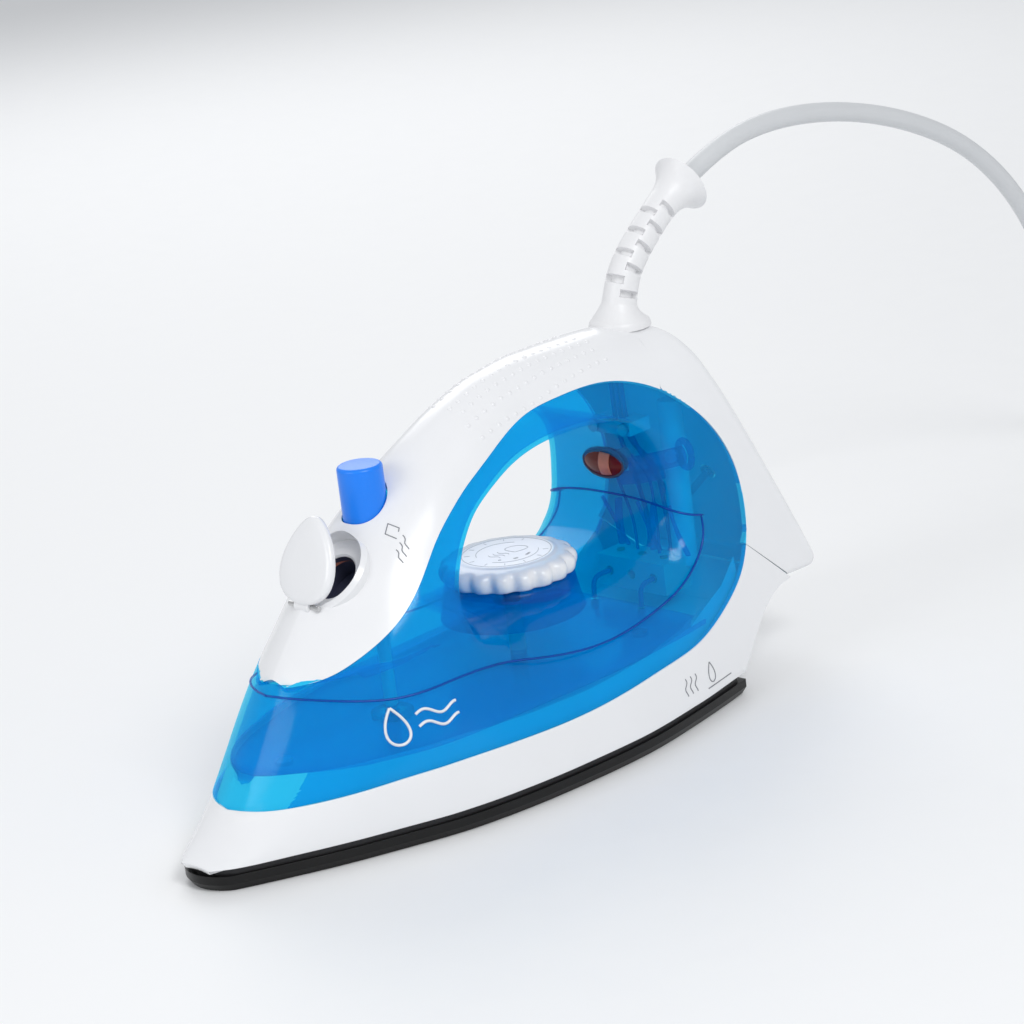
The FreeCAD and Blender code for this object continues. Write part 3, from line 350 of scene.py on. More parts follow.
@dataclass(frozen=True)
class Finish:
    """One finish: a Principled shader with noise on its colour, roughness and bump.

    Colours are linear. Scales are per metre, so 900 is a grain of about a millimetre.
    """

    name: str
    colour: tuple[float, float, float]
    roughness: float = 0.3
    metallic: float = 0.0
    mottle: float = 0.04
    mottle_scale: float = 60.0
    grain: float = 0.02
    grain_scale: float = 900.0
    gloss_spread: float = 0.06
    coat: float = 0.0
    shine: float = 0.5
    ior: float = 1.5
    sheer: float = 0.0
    tint: tuple[float, float, float] = (1.0, 1.0, 1.0)

    def material(self) -> bpy.types.Material:
        """Makes the finish's material, or returns the one made before."""
        title = f"{self.name}_finish"
        found = bpy.data.materials.get(title)
        if found:
            return found
        made = bpy.data.materials.new(title)
        made.use_nodes = True
        tree = made.node_tree
        shader = tree.nodes["Principled BSDF"]
        place = tree.nodes.new("ShaderNodeTexCoord").outputs["Object"]
        broad = self._noise(tree, place, self.mottle_scale, 3.0)
        fine = self._noise(tree, place, self.grain_scale, 2.0)
        shade = tree.nodes.new("ShaderNodeMix")
        shade.data_type = "RGBA"
        low = tuple(max(0.0, c * (1 - self.mottle)) for c in self.colour)
        high = tuple(min(1.0, c * (1 + self.mottle)) for c in self.colour)
        shade.inputs[6].default_value = (*low, 1)
        shade.inputs[7].default_value = (*high, 1)
        tree.links.new(broad, shade.inputs[0])
        tree.links.new(shade.outputs[2], shader.inputs["Base Color"])
        spread = tree.nodes.new("ShaderNodeMapRange")
        spread.inputs["To Min"].default_value = max(0.02, self.roughness - self.gloss_spread)
        spread.inputs["To Max"].default_value = self.roughness + self.gloss_spread
        tree.links.new(broad, spread.inputs["Value"])
        tree.links.new(spread.outputs[0], shader.inputs["Roughness"])
        bump = tree.nodes.new("ShaderNodeBump")
        bump.inputs["Strength"].default_value = self.grain
        bump.inputs["Distance"].default_value = 0.2 * MM
        tree.links.new(fine, bump.inputs["Height"])
        tree.links.new(bump.outputs[0], shader.inputs["Normal"])
        shader.inputs["Metallic"].default_value = self.metallic
        shader.inputs["Coat Weight"].default_value = self.coat
        shader.inputs["Specular IOR Level"].default_value = self.shine
        shader.inputs["IOR"].default_value = self.ior
        if self.sheer:
            self._see_through(tree, shader)
        return made

    def _noise(self, tree: bpy.types.NodeTree, place: bpy.types.NodeSocket, scale: float,
               detail: float) -> bpy.types.NodeSocket:
        """Adds a noise texture and returns its factor.

        Args:
            tree: the material's nodes.
            place: where the noise is read.
            scale: its scale per metre.
            detail: its octaves.

        Returns:
            The noise's output.
        """
        noise = tree.nodes.new("ShaderNodeTexNoise")
        noise.inputs["Scale"].default_value = scale
        noise.inputs["Detail"].default_value = detail
        tree.links.new(place, noise.inputs["Vector"])
        return noise.outputs["Fac"]

    def _see_through(self, tree: bpy.types.NodeTree, shader: bpy.types.Node) -> None:
        """Mixes the shader with tinted light that passes straight through.

        Args:
            tree: the material's nodes.
            shader: the Principled node.
        """
        clear = tree.nodes.new("ShaderNodeBsdfTransparent")
        clear.inputs["Color"].default_value = (*self.tint, 1)
        mix = tree.nodes.new("ShaderNodeMixShader")
        mix.inputs[0].default_value = self.sheer
        tree.links.new(shader.outputs[0], mix.inputs[1])
        tree.links.new(clear.outputs[0], mix.inputs[2])
        tree.links.new(mix.outputs[0], tree.nodes["Material Output"].inputs["Surface"])


WHITE = Finish("moulded_white", (0.82, 0.825, 0.84), roughness=0.22, mottle=0.012, grain=0.03)
DECK_WHITE = Finish("inner_white", (0.78, 0.8, 0.82), roughness=0.5, mottle=0.03, grain=0.1)
TANK_BLUE = Finish("clear_blue", (0.0, 0.36, 0.9), roughness=0.09, mottle=0.12, mottle_scale=25.0, grain=0.01,
                   gloss_spread=0.03, shine=0.5, ior=1.6, sheer=0.76, tint=(0.2, 0.88, 1.0))
INNER_BLUE = Finish("inner_blue", (0.0, 0.16, 0.55), roughness=0.2, mottle=0.12, sheer=0.72, tint=(0.2, 0.7, 0.98))
SEAM_BLUE = Finish("weld_blue", (0.0, 0.09, 0.42), roughness=0.25, mottle=0.1, sheer=0.45, tint=(0.1, 0.55, 0.9))
BUTTON_BLUE = Finish("moulded_blue", (0.0, 0.21, 0.9), roughness=0.32, mottle=0.05, grain=0.05)
LENS_RED = Finish("lens_red", (0.16, 0.008, 0.004), roughness=0.15, mottle=0.25, mottle_scale=200, shine=0.3)
# Painted highlight: light salmon for the bright reflection band on the pilot lens.
LENS_HIGHLIGHT = Finish("lens_painted_highlight", (0.62, 0.17, 0.10), roughness=0.25, mottle=0.2, mottle_scale=300)
COATING = Finish("sole_coating", (0.004, 0.0038, 0.004), roughness=0.32, mottle=0.3, grain=0.12, shine=0.3)
CAST = Finish("cast_aluminium", (0.55, 0.54, 0.53), roughness=0.38, metallic=1.0, mottle=0.12, grain=0.35)
# Painted shade: the raw casting seen in the gap under the skirt is coloured near black for the shade there; its
# metallic gloss is its own.
CASTING_SHADE = Finish("casting_painted_shade", (0.03, 0.03, 0.032), roughness=0.4, metallic=0.6, mottle=0.2, grain=0.3)
STEEL = Finish("plated_steel", (0.6, 0.6, 0.6), roughness=0.25, metallic=1.0, mottle=0.06)
BRASS = Finish("turned_brass", (0.78, 0.57, 0.25), roughness=0.28, metallic=1.0, mottle=0.08)
RUBBER = Finish("seal_rubber", (0.3, 0.1, 0.07), roughness=0.7, mottle=0.1, grain=0.3)
STEATITE = Finish("steatite", (0.72, 0.69, 0.6), roughness=0.6, mottle=0.08, grain=0.3)
LEAD = Finish("lead_white", (0.62, 0.635, 0.65), roughness=0.42, mottle=0.02, grain=0.08)
BOOT = Finish("boot_white", (0.80, 0.80, 0.81), roughness=0.38, mottle=0.015, grain=0.08)
WIRE = Finish("wire_cover", (0.05, 0.09, 0.3), roughness=0.4, mottle=0.1)
INK = Finish("grey_print", (0.24, 0.25, 0.27), roughness=0.5, mottle=0.08)
LAMP = Finish("lamp_glass", (0.8, 0.6, 0.5), roughness=0.08, sheer=0.6)
SHADOW = Finish("inner_shadow", (0.05, 0.055, 0.10), roughness=0.5, mottle=0.1)

SLOT_FINISH = {"sole_coating": COATING, "cast_aluminium": CAST, "steel": STEEL, "brass": BRASS,
               "seal_rubber": RUBBER, "ceramic": STEATITE, "white_plastic": WHITE, "clear_blue": TANK_BLUE,
               "solid_blue": BUTTON_BLUE, "red_lens": LENS_RED, "lamp_glass": LAMP, "wire_cover": WIRE,
               "lead_rubber": LEAD}


def dress(made: bpy.types.Object, finish: Finish) -> None:
    """Gives an object one finish."""
    made.data.materials.clear()
    made.data.materials.append(finish.material())


def place(made: bpy.types.Object, finish: Finish, slot: str, body: str = "root",
          stands_for: tuple[str, ...] = ()) -> bpy.types.Object:
    """Finishes a new piece: its material, its body and the nodes that it stands for.

    Args:
        made: the piece.
        finish: its finish.
        slot: the record's material slot; not used.
        body: the body that it rides on.
        stands_for: nodes that it hides.

    Returns:
        The piece.
    """
    dress(made, finish)
    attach(made, body)
    if stands_for:
        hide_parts(*stands_for)
    LOG.info("%s: %d faces, on %s", made.name, len(made.data.polygons) if made.type == "MESH" else 0, body)
    return made


# ---------------------------------------------------------------- the casing's form


@dataclass(frozen=True)
class Form:
    """The casing's outer form, the same as the frame's.

    A point of the side at height z stands out from the middle by its station's half width, times a
    taper that grows with height, times a crown that closes it at the top line.
    """

    length: float = 285.0
    half_sole: float = 55.0
    height: float = 139.0
    base: float = 8.0
    sole_share: float = 0.8
    lean: float = 0.4757
    heel: float = 34.0
    corner: float = 15.0
    floor: float = 60.0
    ceiling_drop: float = 27.5

    def half_width(self, x: Array) -> Array:
        """Half the casing's width at its bottom edge."""
        return self.half_sole * smooth_table(HALF_WIDTHS, np.asarray(x) / self.length)

    def top(self, x: Array) -> Array:
        """Height of the casing's top line."""
        return self.height * smooth_table(TOPS, np.asarray(x) / self.length)

    def reach(self, x: Array, z: Array) -> Array:
        """Distance of the casing's side from the middle plane at a station and height."""
        share = np.asarray(x) / self.length
        rise = np.clip((z - self.base) / (self.top(x) - self.base), 0, 1)
        taper, crown, blunt = (smooth_table(t, share) for t in (TAPERS, CROWNS, BLUNTNESS))
        return self.half_width(x) * (1 - taper * rise ** 1.1) * (1 - rise ** crown) ** blunt

    def rear(self, z: Array) -> Array:
        """Station of the flat leaning rear face at a height."""
        return self.length - self.lean * (np.asarray(z) - self.heel)

    def on_side(self, flat: Array, side: Side = Side.RIGHT) -> Array:
        """Lifts side-view points (x, z) onto the casing's side.

        Args:
            flat: an array whose last axis is x, z.
            side: which side.

        Returns:
            The same array with x, y, z.
        """
        x, z = flat[..., 0], flat[..., 1]
        return np.stack([x, side.value * self.reach(x, z), z], -1)

    def opening(self, y: Array, count: int) -> Array:
        """The hand opening's outline in side view at distances y from the middle.

        Args:
            y: one distance for each of the count points round the outline.
            count: points round the outline.

        Returns:
            count rows of x, z.
        """
        fall = (np.minimum(np.abs(y), 50) / 42) ** 2.5
        flat = spline(np.array(OPENING), count, closed=True)
        ceiling = self.height - self.ceiling_drop
        rise = ceiling - self.floor
        front, span = 0.3635 * self.length, 0.377 * self.length
        u, v = flat[:, 0], flat[:, 1]
        bottom = self.floor - 12 * fall
        blend = np.clip((v - 0.4) / 0.2, 0, 1)
        lower = bottom + (ceiling - bottom) * v
        z = np.where(v < 0.05, bottom + rise * v, lower * (1 - blend) + (ceiling - rise * (1 - v)) * blend)
        back = 7 * fall * np.clip((u - 0.7) / 0.2, 0, 1) * np.clip(1 - v, 0, 1)
        return np.stack([front + span * u + back, z], -1)


HALF_WIDTHS = [(0, 0.127), (0.025, 0.245), (0.088, 0.418), (0.154, 0.582), (0.21, 0.7), (0.28, 0.836),
               (0.36, 0.927), (0.456, 0.982), (0.558, 1.0), (0.688, 0.927), (0.8, 0.811), (1.0, 0.673)]
TOPS = [(0, 0.062), (0.025, 0.09), (0.053, 0.144), (0.093, 0.252), (0.179, 0.496), (0.24, 0.628),
        (0.312, 0.75), (0.375, 0.833), (0.432, 0.896), (0.488, 0.947), (0.551, 0.985), (0.621, 1.0),
        (0.719, 0.997), (0.79, 0.988), (1.05, 0.98)]
TAPERS = [(0, 0.0), (0.175, 0.0), (0.35, 0.45), (0.44, 0.68), (0.56, 0.76), (0.7, 0.62), (0.84, 0.4),
          (1.0, 0.3)]
CROWNS = [(0, 2.0), (0.21, 2.2), (0.35, 5), (0.44, 12), (0.56, 22), (0.84, 12), (1.0, 12)]
BLUNTNESS = [(0, 0.72), (0.21, 0.68), (0.35, 0.55), (0.456, 0.5), (1.0, 0.5)]
OPENING = [(0.16, 0.06), (0.26, 0.0), (0.4, -0.01), (0.55, -0.01), (0.7, 0.0), (0.82, 0.035), (0.95, 0.16),
           (1.0, 0.36), (1.0, 0.6), (0.965, 0.82), (0.88, 0.965), (0.75, 1.02), (0.6, 1.02), (0.45, 0.98),
           (0.3, 0.88), (0.17, 0.74), (0.06, 0.54), (0.0, 0.34), (0.04, 0.18)]
BLUE_LOW = [(0.0605, 0.1645), (0.105, 0.168), (0.168, 0.173), (0.239, 0.18), (0.323, 0.18), (0.414, 0.173),
            (0.516, 0.173), (0.628, 0.187), (0.719, 0.201), (0.8, 0.259), (0.839, 0.324), (0.86, 0.41)]
BLUE_REAR = [(0.863, 0.568), (0.821, 0.741), (0.758, 0.856)]
BLUE_TOP = [(0.684, 0.906), (0.618, 0.906), (0.547, 0.885), (0.488, 0.835), (0.425, 0.77), (0.372, 0.702),
            (0.323, 0.612), (0.281, 0.54), (0.225, 0.471), (0.182, 0.435), (0.154, 0.42)]
IRON = Form()


def shares(outline: Points) -> Array:
    """Turns shares of length and height into millimetres."""
    return np.array(outline, float) * (IRON.length, IRON.height)


# ---------------------------------------------------------------- sub-assemblies


@dataclass
class Tank:
    """The see-through blue tank with the hand opening through it."""

    around: int = 260
    fine: int = 2400
    wall: float = 2.0
    floor_round: float = 15.0
    floor: float = 33.5
    deck: float = 29.5
    edge_round: float = 2.6
    rear_round: float = 9.0

    def loops(self) -> tuple[Array, Array, Array]:
        """The tank's outer edge and the opening's edge in side view, point for point.

        Returns:
            Two loops of x, z, the outer edge from the nose along the bottom and the opening's edge, and
            the opening's points' numbers in its fine outline.
        """
        outline = spline(shares(BLUE_LOW + BLUE_REAR + BLUE_TOP), self.around - 40)
        front = self._ridge(outline[-1], outline[0], 40)
        outer = np.concatenate([outline, front])
        y = np.full(self.fine, 30.0)
        for _ in range(30):
            rim = IRON.opening(y, self.fine)
            y = 0.5 * y + 0.5 * IRON.reach(rim[:, 0], rim[:, 1])
        pairs = self._matched(outer, rim)
        return outer, rim[pairs], pairs

    def _ridge(self, start: Array, stop: Array, count: int) -> Array:
        """Points down the middle of the nose between the tank's upper and lower front edges."""
        at = np.linspace(0, 1, count + 2)[1:-1]
        xs = start[0] + (stop[0] - start[0]) * at
        return np.stack([xs, IRON.top(xs)], -1)

    def _matched(self, outer: Array, rim: Array) -> Array:
        """For each outer point, the number of the rim point that it is joined to.

        The two loops are paired at nine landmarks, and evenly by number between them.
        """
        marks = [((0.0605, 0.1645), (112, 58)), ((0.45, 0.17), (140, 48)), ((0.719, 0.201), (196, 50)),
                 ((0.86, 0.41), (218, 66)), ((0.80, 0.79), (209, 104)), ((0.60, 0.905), (170, 114)),
                 ((0.425, 0.77), (136, 106)), ((0.281, 0.54), (110, 88)), ((0.154, 0.42), (109, 67))]
        nearest = [(int(np.argmin(np.linalg.norm(outer - np.array(a) * (IRON.length, IRON.height), axis=1))),
                    int(np.argmin(np.linalg.norm(rim - np.array(b), axis=1)))) for a, b in marks]
        outs = np.array([n[0] for n in nearest])
        rims = np.array([n[1] for n in nearest])
        rims = np.where(rims < rims[0], rims + len(rim), rims)
        outs = np.append(outs, outs[0] + len(outer))
        rims = np.append(rims, rims[0] + len(rim))
        number = np.arange(len(outer))
        number = np.where(number < outs[0], number + len(outer), number)
        return np.round(np.interp(number, outs, rims)).astype(int) % len(rim)

    def skin(self) -> Array:
        """The tank's outer surface as one grid: round the opening by from side to side.

        Each line runs from the outer edge over the side to the opening's rounded edge, through the
        opening, and back over the other side. The corner is a parabola tangent to both surfaces.

        Returns:
            The grid of points.
        """
        outer, rim, pairs = self.loops()
        z = rim[:, 1]
        low = np.clip((66 - z) / 14, 0, 1)
        rear = np.clip((rim[:, 0] - 200) / 14, 0, 1)
        radius = np.maximum(self.edge_round + (self.floor_round - self.edge_round) * low,
                            self.edge_round + (self.rear_round - self.edge_round) * rear)
        span = np.linalg.norm(rim - outer, axis=1)
        stop = 1 - np.minimum(radius / span, 0.6)
        fan = np.linspace(0, 1, 22)[:, None]
        t = fan ** 1.35 * stop
        side = IRON.on_side(outer + (rim - outer) * t[..., None])
        corner = IRON.on_side(rim)
        edge = side[-1]
        y_in = np.minimum(-corner[:, 1] - radius * 0.9, 26)
        inner_flat = self._scoop(y_in, pairs)
        inner = np.stack([inner_flat[:, 0], -y_in, inner_flat[:, 1]], -1)
        s = np.linspace(0, 1, 12)[1:, None, None]
        bend = (1 - s) ** 2 * edge + 2 * s * (1 - s) * corner + s ** 2 * inner
        middle = []
        for k in np.linspace(1, 0, 9)[1:]:
            flat = self._scoop(y_in * k, pairs)
            middle.append(np.stack([flat[:, 0], -y_in * k, flat[:, 1]], -1))
        half = np.concatenate([side, bend, np.array(middle)])
        other = half[:-1][::-1] * (1, -1, 1)
        return np.concatenate([half, other]).transpose(1, 0, 2)

    def _scoop(self, y: Array, pairs: Array) -> Array:
        """The opening's surface at the paired rim points, each at its own distance from the middle."""
        every = np.zeros(self.fine)
        every[pairs] = y
        return IRON.opening(every, self.fine)[pairs]

    def build(self) -> None:
        """Makes the tank, its weld line, the white deck inside it and the boss under the dial."""
        grid = self.skin()
        tank = grid_object("tank_shell", grid, closed_u=True, sharp=60)
        solidify(tank, self.wall, 0.4)
        place(tank, TANK_BLUE, "clear_blue", stands_for=("water_tank_lower", "water_tank_upper"))
        self._weld()
        self._deck()
        self._floor()
        self._inside()
        self._boss()

    def _weld(self) -> None:
        """The weld between the tank's halves: one bead along a side, over the rear wall and back."""
        flat = spline([(40.5, 55.4), (48, 54.2), (58, 52.2), (68, 50.8), (84, 51.4), (101, 51.6), (114, 50), (128, 47),
                       (155, 43.2), (183, 44.9), (204, 49.5), (216, 56), (221.6, 63), (222.6, 69.5)], 110)
        right = IRON.on_side(flat)
        grid = self.skin()
        rim = self.loops()[1]
        row = int(np.argmin(np.linalg.norm(rim - (219.0, 72.0), axis=1)))
        line = grid[row]
        start = int(np.argmin(np.linalg.norm(line[:20] - right[-1], axis=1))) + 1
        over = line[start:len(line) - start]
        path = np.concatenate([right, over, right[::-1] * (1, -1, 1)])
        place(bead("tank_weld", path, 0.42), SEAM_BLUE, "clear_blue")

    def _deck(self) -> None:
        """The white deck and its upstanding lip, seen through the bottom of the tank.

        The lip stands a few millimetres higher than the tank's lower edge, more at the nose.
        """
        xs = 14 + 224 * np.linspace(0, 1, 110) ** 1.25
        edge = np.interp(xs, *shares(BLUE_LOW).T)
        lip = np.minimum(edge + np.interp(xs, [25, 34, 60, 100, 140, 238], [9.0, 9.0, 7.5, 6.5, 5.5, 4.5]),
                         IRON.top(xs) - 2.6)
        zs = np.linspace(0, 1, 6)[:, None]
        base = np.minimum(edge - 4, lip - 5)
        height = base + (lip - base) * zs
        reach = np.maximum(IRON.reach(xs, height) - (self.wall + 0.6) * 1.15, 0.5)
        right = np.stack([np.broadcast_to(xs, height.shape), -reach, height], -1)
        across = np.linspace(1, -1, 9)[1:-1, None]
        level = np.broadcast_to(np.minimum(lip - 0.4, self.deck), (7, 110))
        roof = np.stack([np.broadcast_to(xs, (7, 110)), -(reach[-1] - 0.8) * across, level], -1)
        grid = np.concatenate([right, roof, right[::-1] * (1, -1, 1)])
        deck = grid_object("inner_deck", grid, sharp=30)
        solidify(deck, 0.8, 0)
        carve(deck, [revolve("nozzle_room", [(0, 60), (4.9, 60), (4.9, 5), (0, 5)], (BUTTON_X, 0.0), 48)])
        place(again(deck), DECK_WHITE, "white_plastic")

    def _floor(self) -> None:
        """The tank's own floor above the deck: a clear plate that meets the wall all round."""
        xs = np.linspace(27, 214, 70)
        reach = np.maximum(IRON.reach(xs, self.floor) - self.wall - 0.1, 0.5)
        across = np.linspace(1, -1, 25)[:, None]
        level = self.floor - 0.8 * np.abs(across) ** 6
        grid = np.stack(np.broadcast_arrays(xs, -reach * across, level), -1)
        floor = grid_object("tank_floor", grid)
        solidify(floor, 1.6, 0)
        place(floor, TANK_BLUE, "clear_blue")

    def _inside(self) -> None:
        """What shows behind the opening's rear wall: two tubes, a post and slanting ribs."""
        tubes = [np.array([(222.0, -4.0, 84.0), (226.0, -12.0, 85.5), (231.0, -22.0, 88.0)]),
                 np.array([(221.0, 2.0, 79.0), (225.0, -6.0, 79.5), (229.0, -13.0, 81.0)])]
        pieces = [bead("tube", spline(path, 12), radius, 14, flat=1.0) for path, radius in zip(tubes, (3.6, 2.6))]
        ring = np.linspace(0, 2 * math.pi, 40, endpoint=False)
        around = np.stack([231.5 + 1.5 * np.cos(ring), -22.5 + 4.6 * np.cos(ring), 88.3 + 5.0 * np.sin(ring)], -1)
        pieces.append(bead("ring", around, 1.3, 10, closed=True))
        place(joined("inner_tubes", pieces), INNER_BLUE, "clear_blue")
        post = [(0, 108), (4.4, 107.4), (4.6, 106), (4.6, 44), (0, 44)]
        place(revolve("cover_post", post, (235.0, -14.0), 40), DECK_WHITE, "white_plastic")
        ribs = []
        for k, (y, lean) in enumerate(((10.0, -6.0), (2.0, 5.0), (-7.0, -5.0), (-15.0, 6.0), (-22.0, -4.0))):
            path = np.array([(219.0 + 0.4 * k, y, 71.5), (221.0, y + lean * 0.5, 63.0), (224.0, y + lean, 52.0)])
            ribs.append(bead("rib", spline(path, 14), 1.5, 8, flat=0.5))
        place(joined("tank_ribs", ribs), INNER_BLUE, "clear_blue")

    def _boss(self) -> None:
        """The round boss that carries the dial."""
        profile = [(0, 61.6), (21.6, 61.6), (22.8, 61.2), (23.6, 60.2), (24.4, 56.0), (25.4, 51.0),
                   (26.4, 48.0), (0, 48.0)]
        place(revolve("dial_boss", profile, (DIAL_X, 0.0)), INNER_BLUE, "clear_blue")


@dataclass
class Casing:
    """The white handle cover, rear cover and lower skirt."""

    wall: float = 2.0
    gap: float = 0.25
    button: tuple[float, float] = (BUTTON_X, 8.5)
    seam: tuple[float, float] = (219.0, 0.215)
    lap: float = 0.5
    proud: float = 0.18

    def handle_cover(self) -> None:
        """The cover from the nose over the handle, with the button's hole and the lid's recess."""
        edge = spline(shares(BLUE_TOP[::-1] + BLUE_REAR[::-1]), 400)
        edge = edge[edge[:, 0] <= self.seam[0]]
        edge = edge[np.concatenate([[True], np.diff(edge[:, 0]) > 0])]
        u = np.linspace(0, 1, 110)
        start, stop = edge[0, 0] + 0.2, self.seam[0]
        xb = start + (stop - start) * u
        zb = np.interp(xb, edge[:, 0], edge[:, 1]) - self.lap
        shear = self.seam[1] * np.clip((u - 0.6) / 0.4, 0, 1) ** 2
        peak = IRON.top(xb + shear * (IRON.top(xb) - zb))
        rise = (1 - (1 - np.linspace(0, 1, 26)) ** 2.0)[:, None]
        z = zb + (peak - zb) * rise
        x = xb + shear * (z - zb)
        y = IRON.reach(x, z)
        y = y + self.proud * (1 - rise) ** 2 * np.minimum(y, 1)
        y[-1] = 0
        right = np.stack([x, -y, z], -1)
        cover = grid_object("handle_cover_skin", np.concatenate([right, right[:-1][::-1] * (1, -1, 1)]))
        solidify(cover, self.wall, 0.4)
        carve(cover, self._cutters())
        cover = again(cover)
        place(cover, WHITE, "white_plastic", stands_for=("handle_cover",))
        self._cup()
        self._grip_dots()

    def _cutters(self) -> list[bpy.types.Object]:
        """Closed shapes for the button's hole and the filler's recess."""
        x, radius = self.button
        hole = revolve("hole", [(0, 150), (radius, 150), (radius, 85), (0, 85)], (x, 0.0), 64)
        recess = LID.disc("recess", LID.recess, -LID.depth, 30.0)
        return [hole, recess]

    def _cup(self) -> None:
        """The recess's wall and floor, with the filler hole through the floor, and a dark disc down the hole as
        painted shade.
        """
        outer, inner, hole = LID.recess + 1.4, LID.recess + 0.02, 8.4
        rows = [(inner, -0.6), (inner, -LID.depth), (hole + 0.6, -LID.depth), (hole, -LID.depth - 0.6), (hole, -19.0),
                (hole + 1.4, -19.0), (hole + 1.4, -LID.depth - 1.6), (outer, -LID.depth - 1.6), (outer, -2.2)]
        place(LID.ring("filler_cup", rows), WHITE, "white_plastic")
        # Painted shade: a dark disc in the shadow finish closes the hole, where there is only shade.
        dark = [(hole - 0.02, -LID.depth - 0.9), (hole - 0.02, -16.0), (0.0, -16.0)]
        place(LID.ring("filler_hole_shade", dark, closed=False), SHADOW, "white_plastic")

    def _grip_dots(self) -> None:
        """Rows of small raised dots on top of the handle."""
        rows, columns = 4, 16
        u, v = np.meshgrid(np.linspace(136, 200, columns), np.arange(rows))
        x = u + (v % 2) * 2.1
        top = IRON.top(x)
        reach = 4.0 + v * 4.2
        height = top - np.interp(reach, [0, 4, 8, 12, 16, 17.5], [0, 0.45, 1.7, 4.4, 10.5, 13.5])
        for _ in range(24):
            error = IRON.reach(x, height) - reach
            height = height + np.clip(error, -0.5, 0.5) * 0.5
        height = np.minimum(height, top - 0.02)
        pieces = []
        for side in Side:
            centres = np.stack([x, side.value * reach, height], -1).reshape(-1, 3)
            pieces.append(self._domes(centres, 0.95, 0.5))
        place(joined("grip_dots", pieces), WHITE, "white_plastic")

    def _domes(self, centres: Array, radius: float, rise: float) -> bpy.types.Object:
        """Low domes square to the casing at many centres.

        Args:
            centres: rows of points on the casing.
            radius: each dome's radius.
            rise: each dome's height.

        Returns:
            One object with a dome of a few faces at each centre.
        """
        step = 0.4
        x, y, z = centres.T
        side = np.sign(y)
        slope_x = (IRON.reach(x + step, z) - IRON.reach(x - step, z)) / (2 * step)
        slope_z = (IRON.reach(x, z + step * 0.2) - IRON.reach(x, z - step)) / (1.2 * step)
        normal = np.stack([-slope_x, side, -slope_z], -1)
        normal /= np.linalg.norm(normal, axis=1)[:, None]
        first = np.cross(normal, (1.0, 0.0, 0.0))
        first /= np.linalg.norm(first, axis=1)[:, None]
        second = np.cross(normal, first)
        rings, sides = 4, 8
        tilt = np.linspace(0, math.pi / 2, rings)
        turn = np.linspace(0, 2 * math.pi, sides, endpoint=False)
        out = radius * np.sin(tilt)[:, None, None, None]
        lift = rise * np.cos(tilt)[:, None, None, None] - 0.12
        grid = (centres[None, None] + out * (first[None, None] * np.cos(turn)[None, :, None, None]
                + second[None, None] * np.sin(turn)[None, :, None, None]) + lift * normal[None, None])
        grid = grid.transpose(2, 0, 1, 3)
        count = len(centres)
        index = np.arange(count * rings * sides).reshape(count, rings, sides)
        ahead = np.roll(index, -1, 2)
        faces = np.stack([index[:, :-1], index[:, 1:], ahead[:, 1:], ahead[:, :-1]], -1).reshape(-1, 4)
        return mesh_object("domes", grid.reshape(-1, 3), faces, 80)

    def rear_cover(self) -> None:
        """The rear cover: planes fanned about a point in the hand opening, each a line round the back."""
        pivot = np.array([210.7, 80.0])
        middle = spline(shares(BLUE_REAR[::-1] + BLUE_LOW[:-2:-1]), 80)
        edge = np.concatenate([[(223.7, 141.0)], middle, [(266.0, 31.6)]])
        edge = edge[(edge[:, 0] >= self.seam[0] - 0.5)]
        start = np.array([self.seam[0] + self.gap, 118.6])
        inner_angle, inner_radius = self._polar(np.concatenate([[start], edge[2:-1]]), pivot)
        outer_angle, outer_radius = self._polar(self._outline(), pivot)
        first, last = inner_angle.max() - 0.002, math.atan2(32.2 - pivot[1], 266.5 - pivot[0])
        angle = np.linspace(first, last, 150)
        near = np.interp(-angle, -inner_angle, inner_radius) + self.gap
        far = np.interp(-angle, -outer_angle, outer_radius)
        grow = (1 - (1 - np.linspace(0, 1, 40)) ** 2.4)[:, None]
        radius = near + (far - near) * grow
        x = pivot[0] + radius * np.cos(angle)
        z = pivot[1] + radius * np.sin(angle)
        rounding = (1 - np.clip(1 - (far - radius) / 5.0, 0, 1) ** 2.3) ** (1 / 2.3)
        y = IRON.reach(np.minimum(x, IRON.length), np.minimum(z, IRON.top(x) - 0.01)) * (0.87 + 0.13 * rounding)
        right = np.stack([x, -y, z], -1)
        across = np.linspace(1, -1, 15)[1:-1, None, None]
        back = right[-1] * (1, 0, 1) + across * right[-1] * (0, 1, 0)
        cover = grid_object("rear_cover_skin", np.concatenate([right, back, right[::-1] * (1, -1, 1)]), sharp=50)
        solidify(cover, self.wall, 0.4)
        carve(cover, [self._screw_well()])
        place(again(cover), WHITE, "white_plastic", stands_for=("rear_cover",))

    def _screw_well(self) -> bpy.types.Object:
        """The closed shape of the screw's well in the rear face."""
        lean = math.atan(IRON.lean)
        z = IRON.height / 2
        spot = np.array([float(IRON.rear(z)), 0.0, z])
        turn = np.linspace(0, 2 * math.pi, 40, endpoint=False)
        rows = np.array([(0, 2.0), (3.4, 2.0), (3.4, -6.0), (0, -6.0)])
        u = rows[:, :1] * np.cos(turn)
        v = rows[:, :1] * np.sin(turn)
        n = np.repeat(rows[:, 1:], 40, 1)
        x = spot[0] + n * math.cos(lean) - v * math.sin(lean)
        z_all = spot[2] + n * math.sin(lean) + v * math.cos(lean)
        return grid_object("well", np.stack([x, u, z_all], -1), closed_v=True)

    def _polar(self, flat: Array, pivot: Array) -> tuple[Array, Array]:
        """Angles and distances of side-view points about a pivot, in falling order of angle."""
        away = flat - pivot
        angle = np.arctan2(away[:, 1], away[:, 0])
        order = np.argsort(-angle)
        return angle[order], np.linalg.norm(away, axis=1)[order]

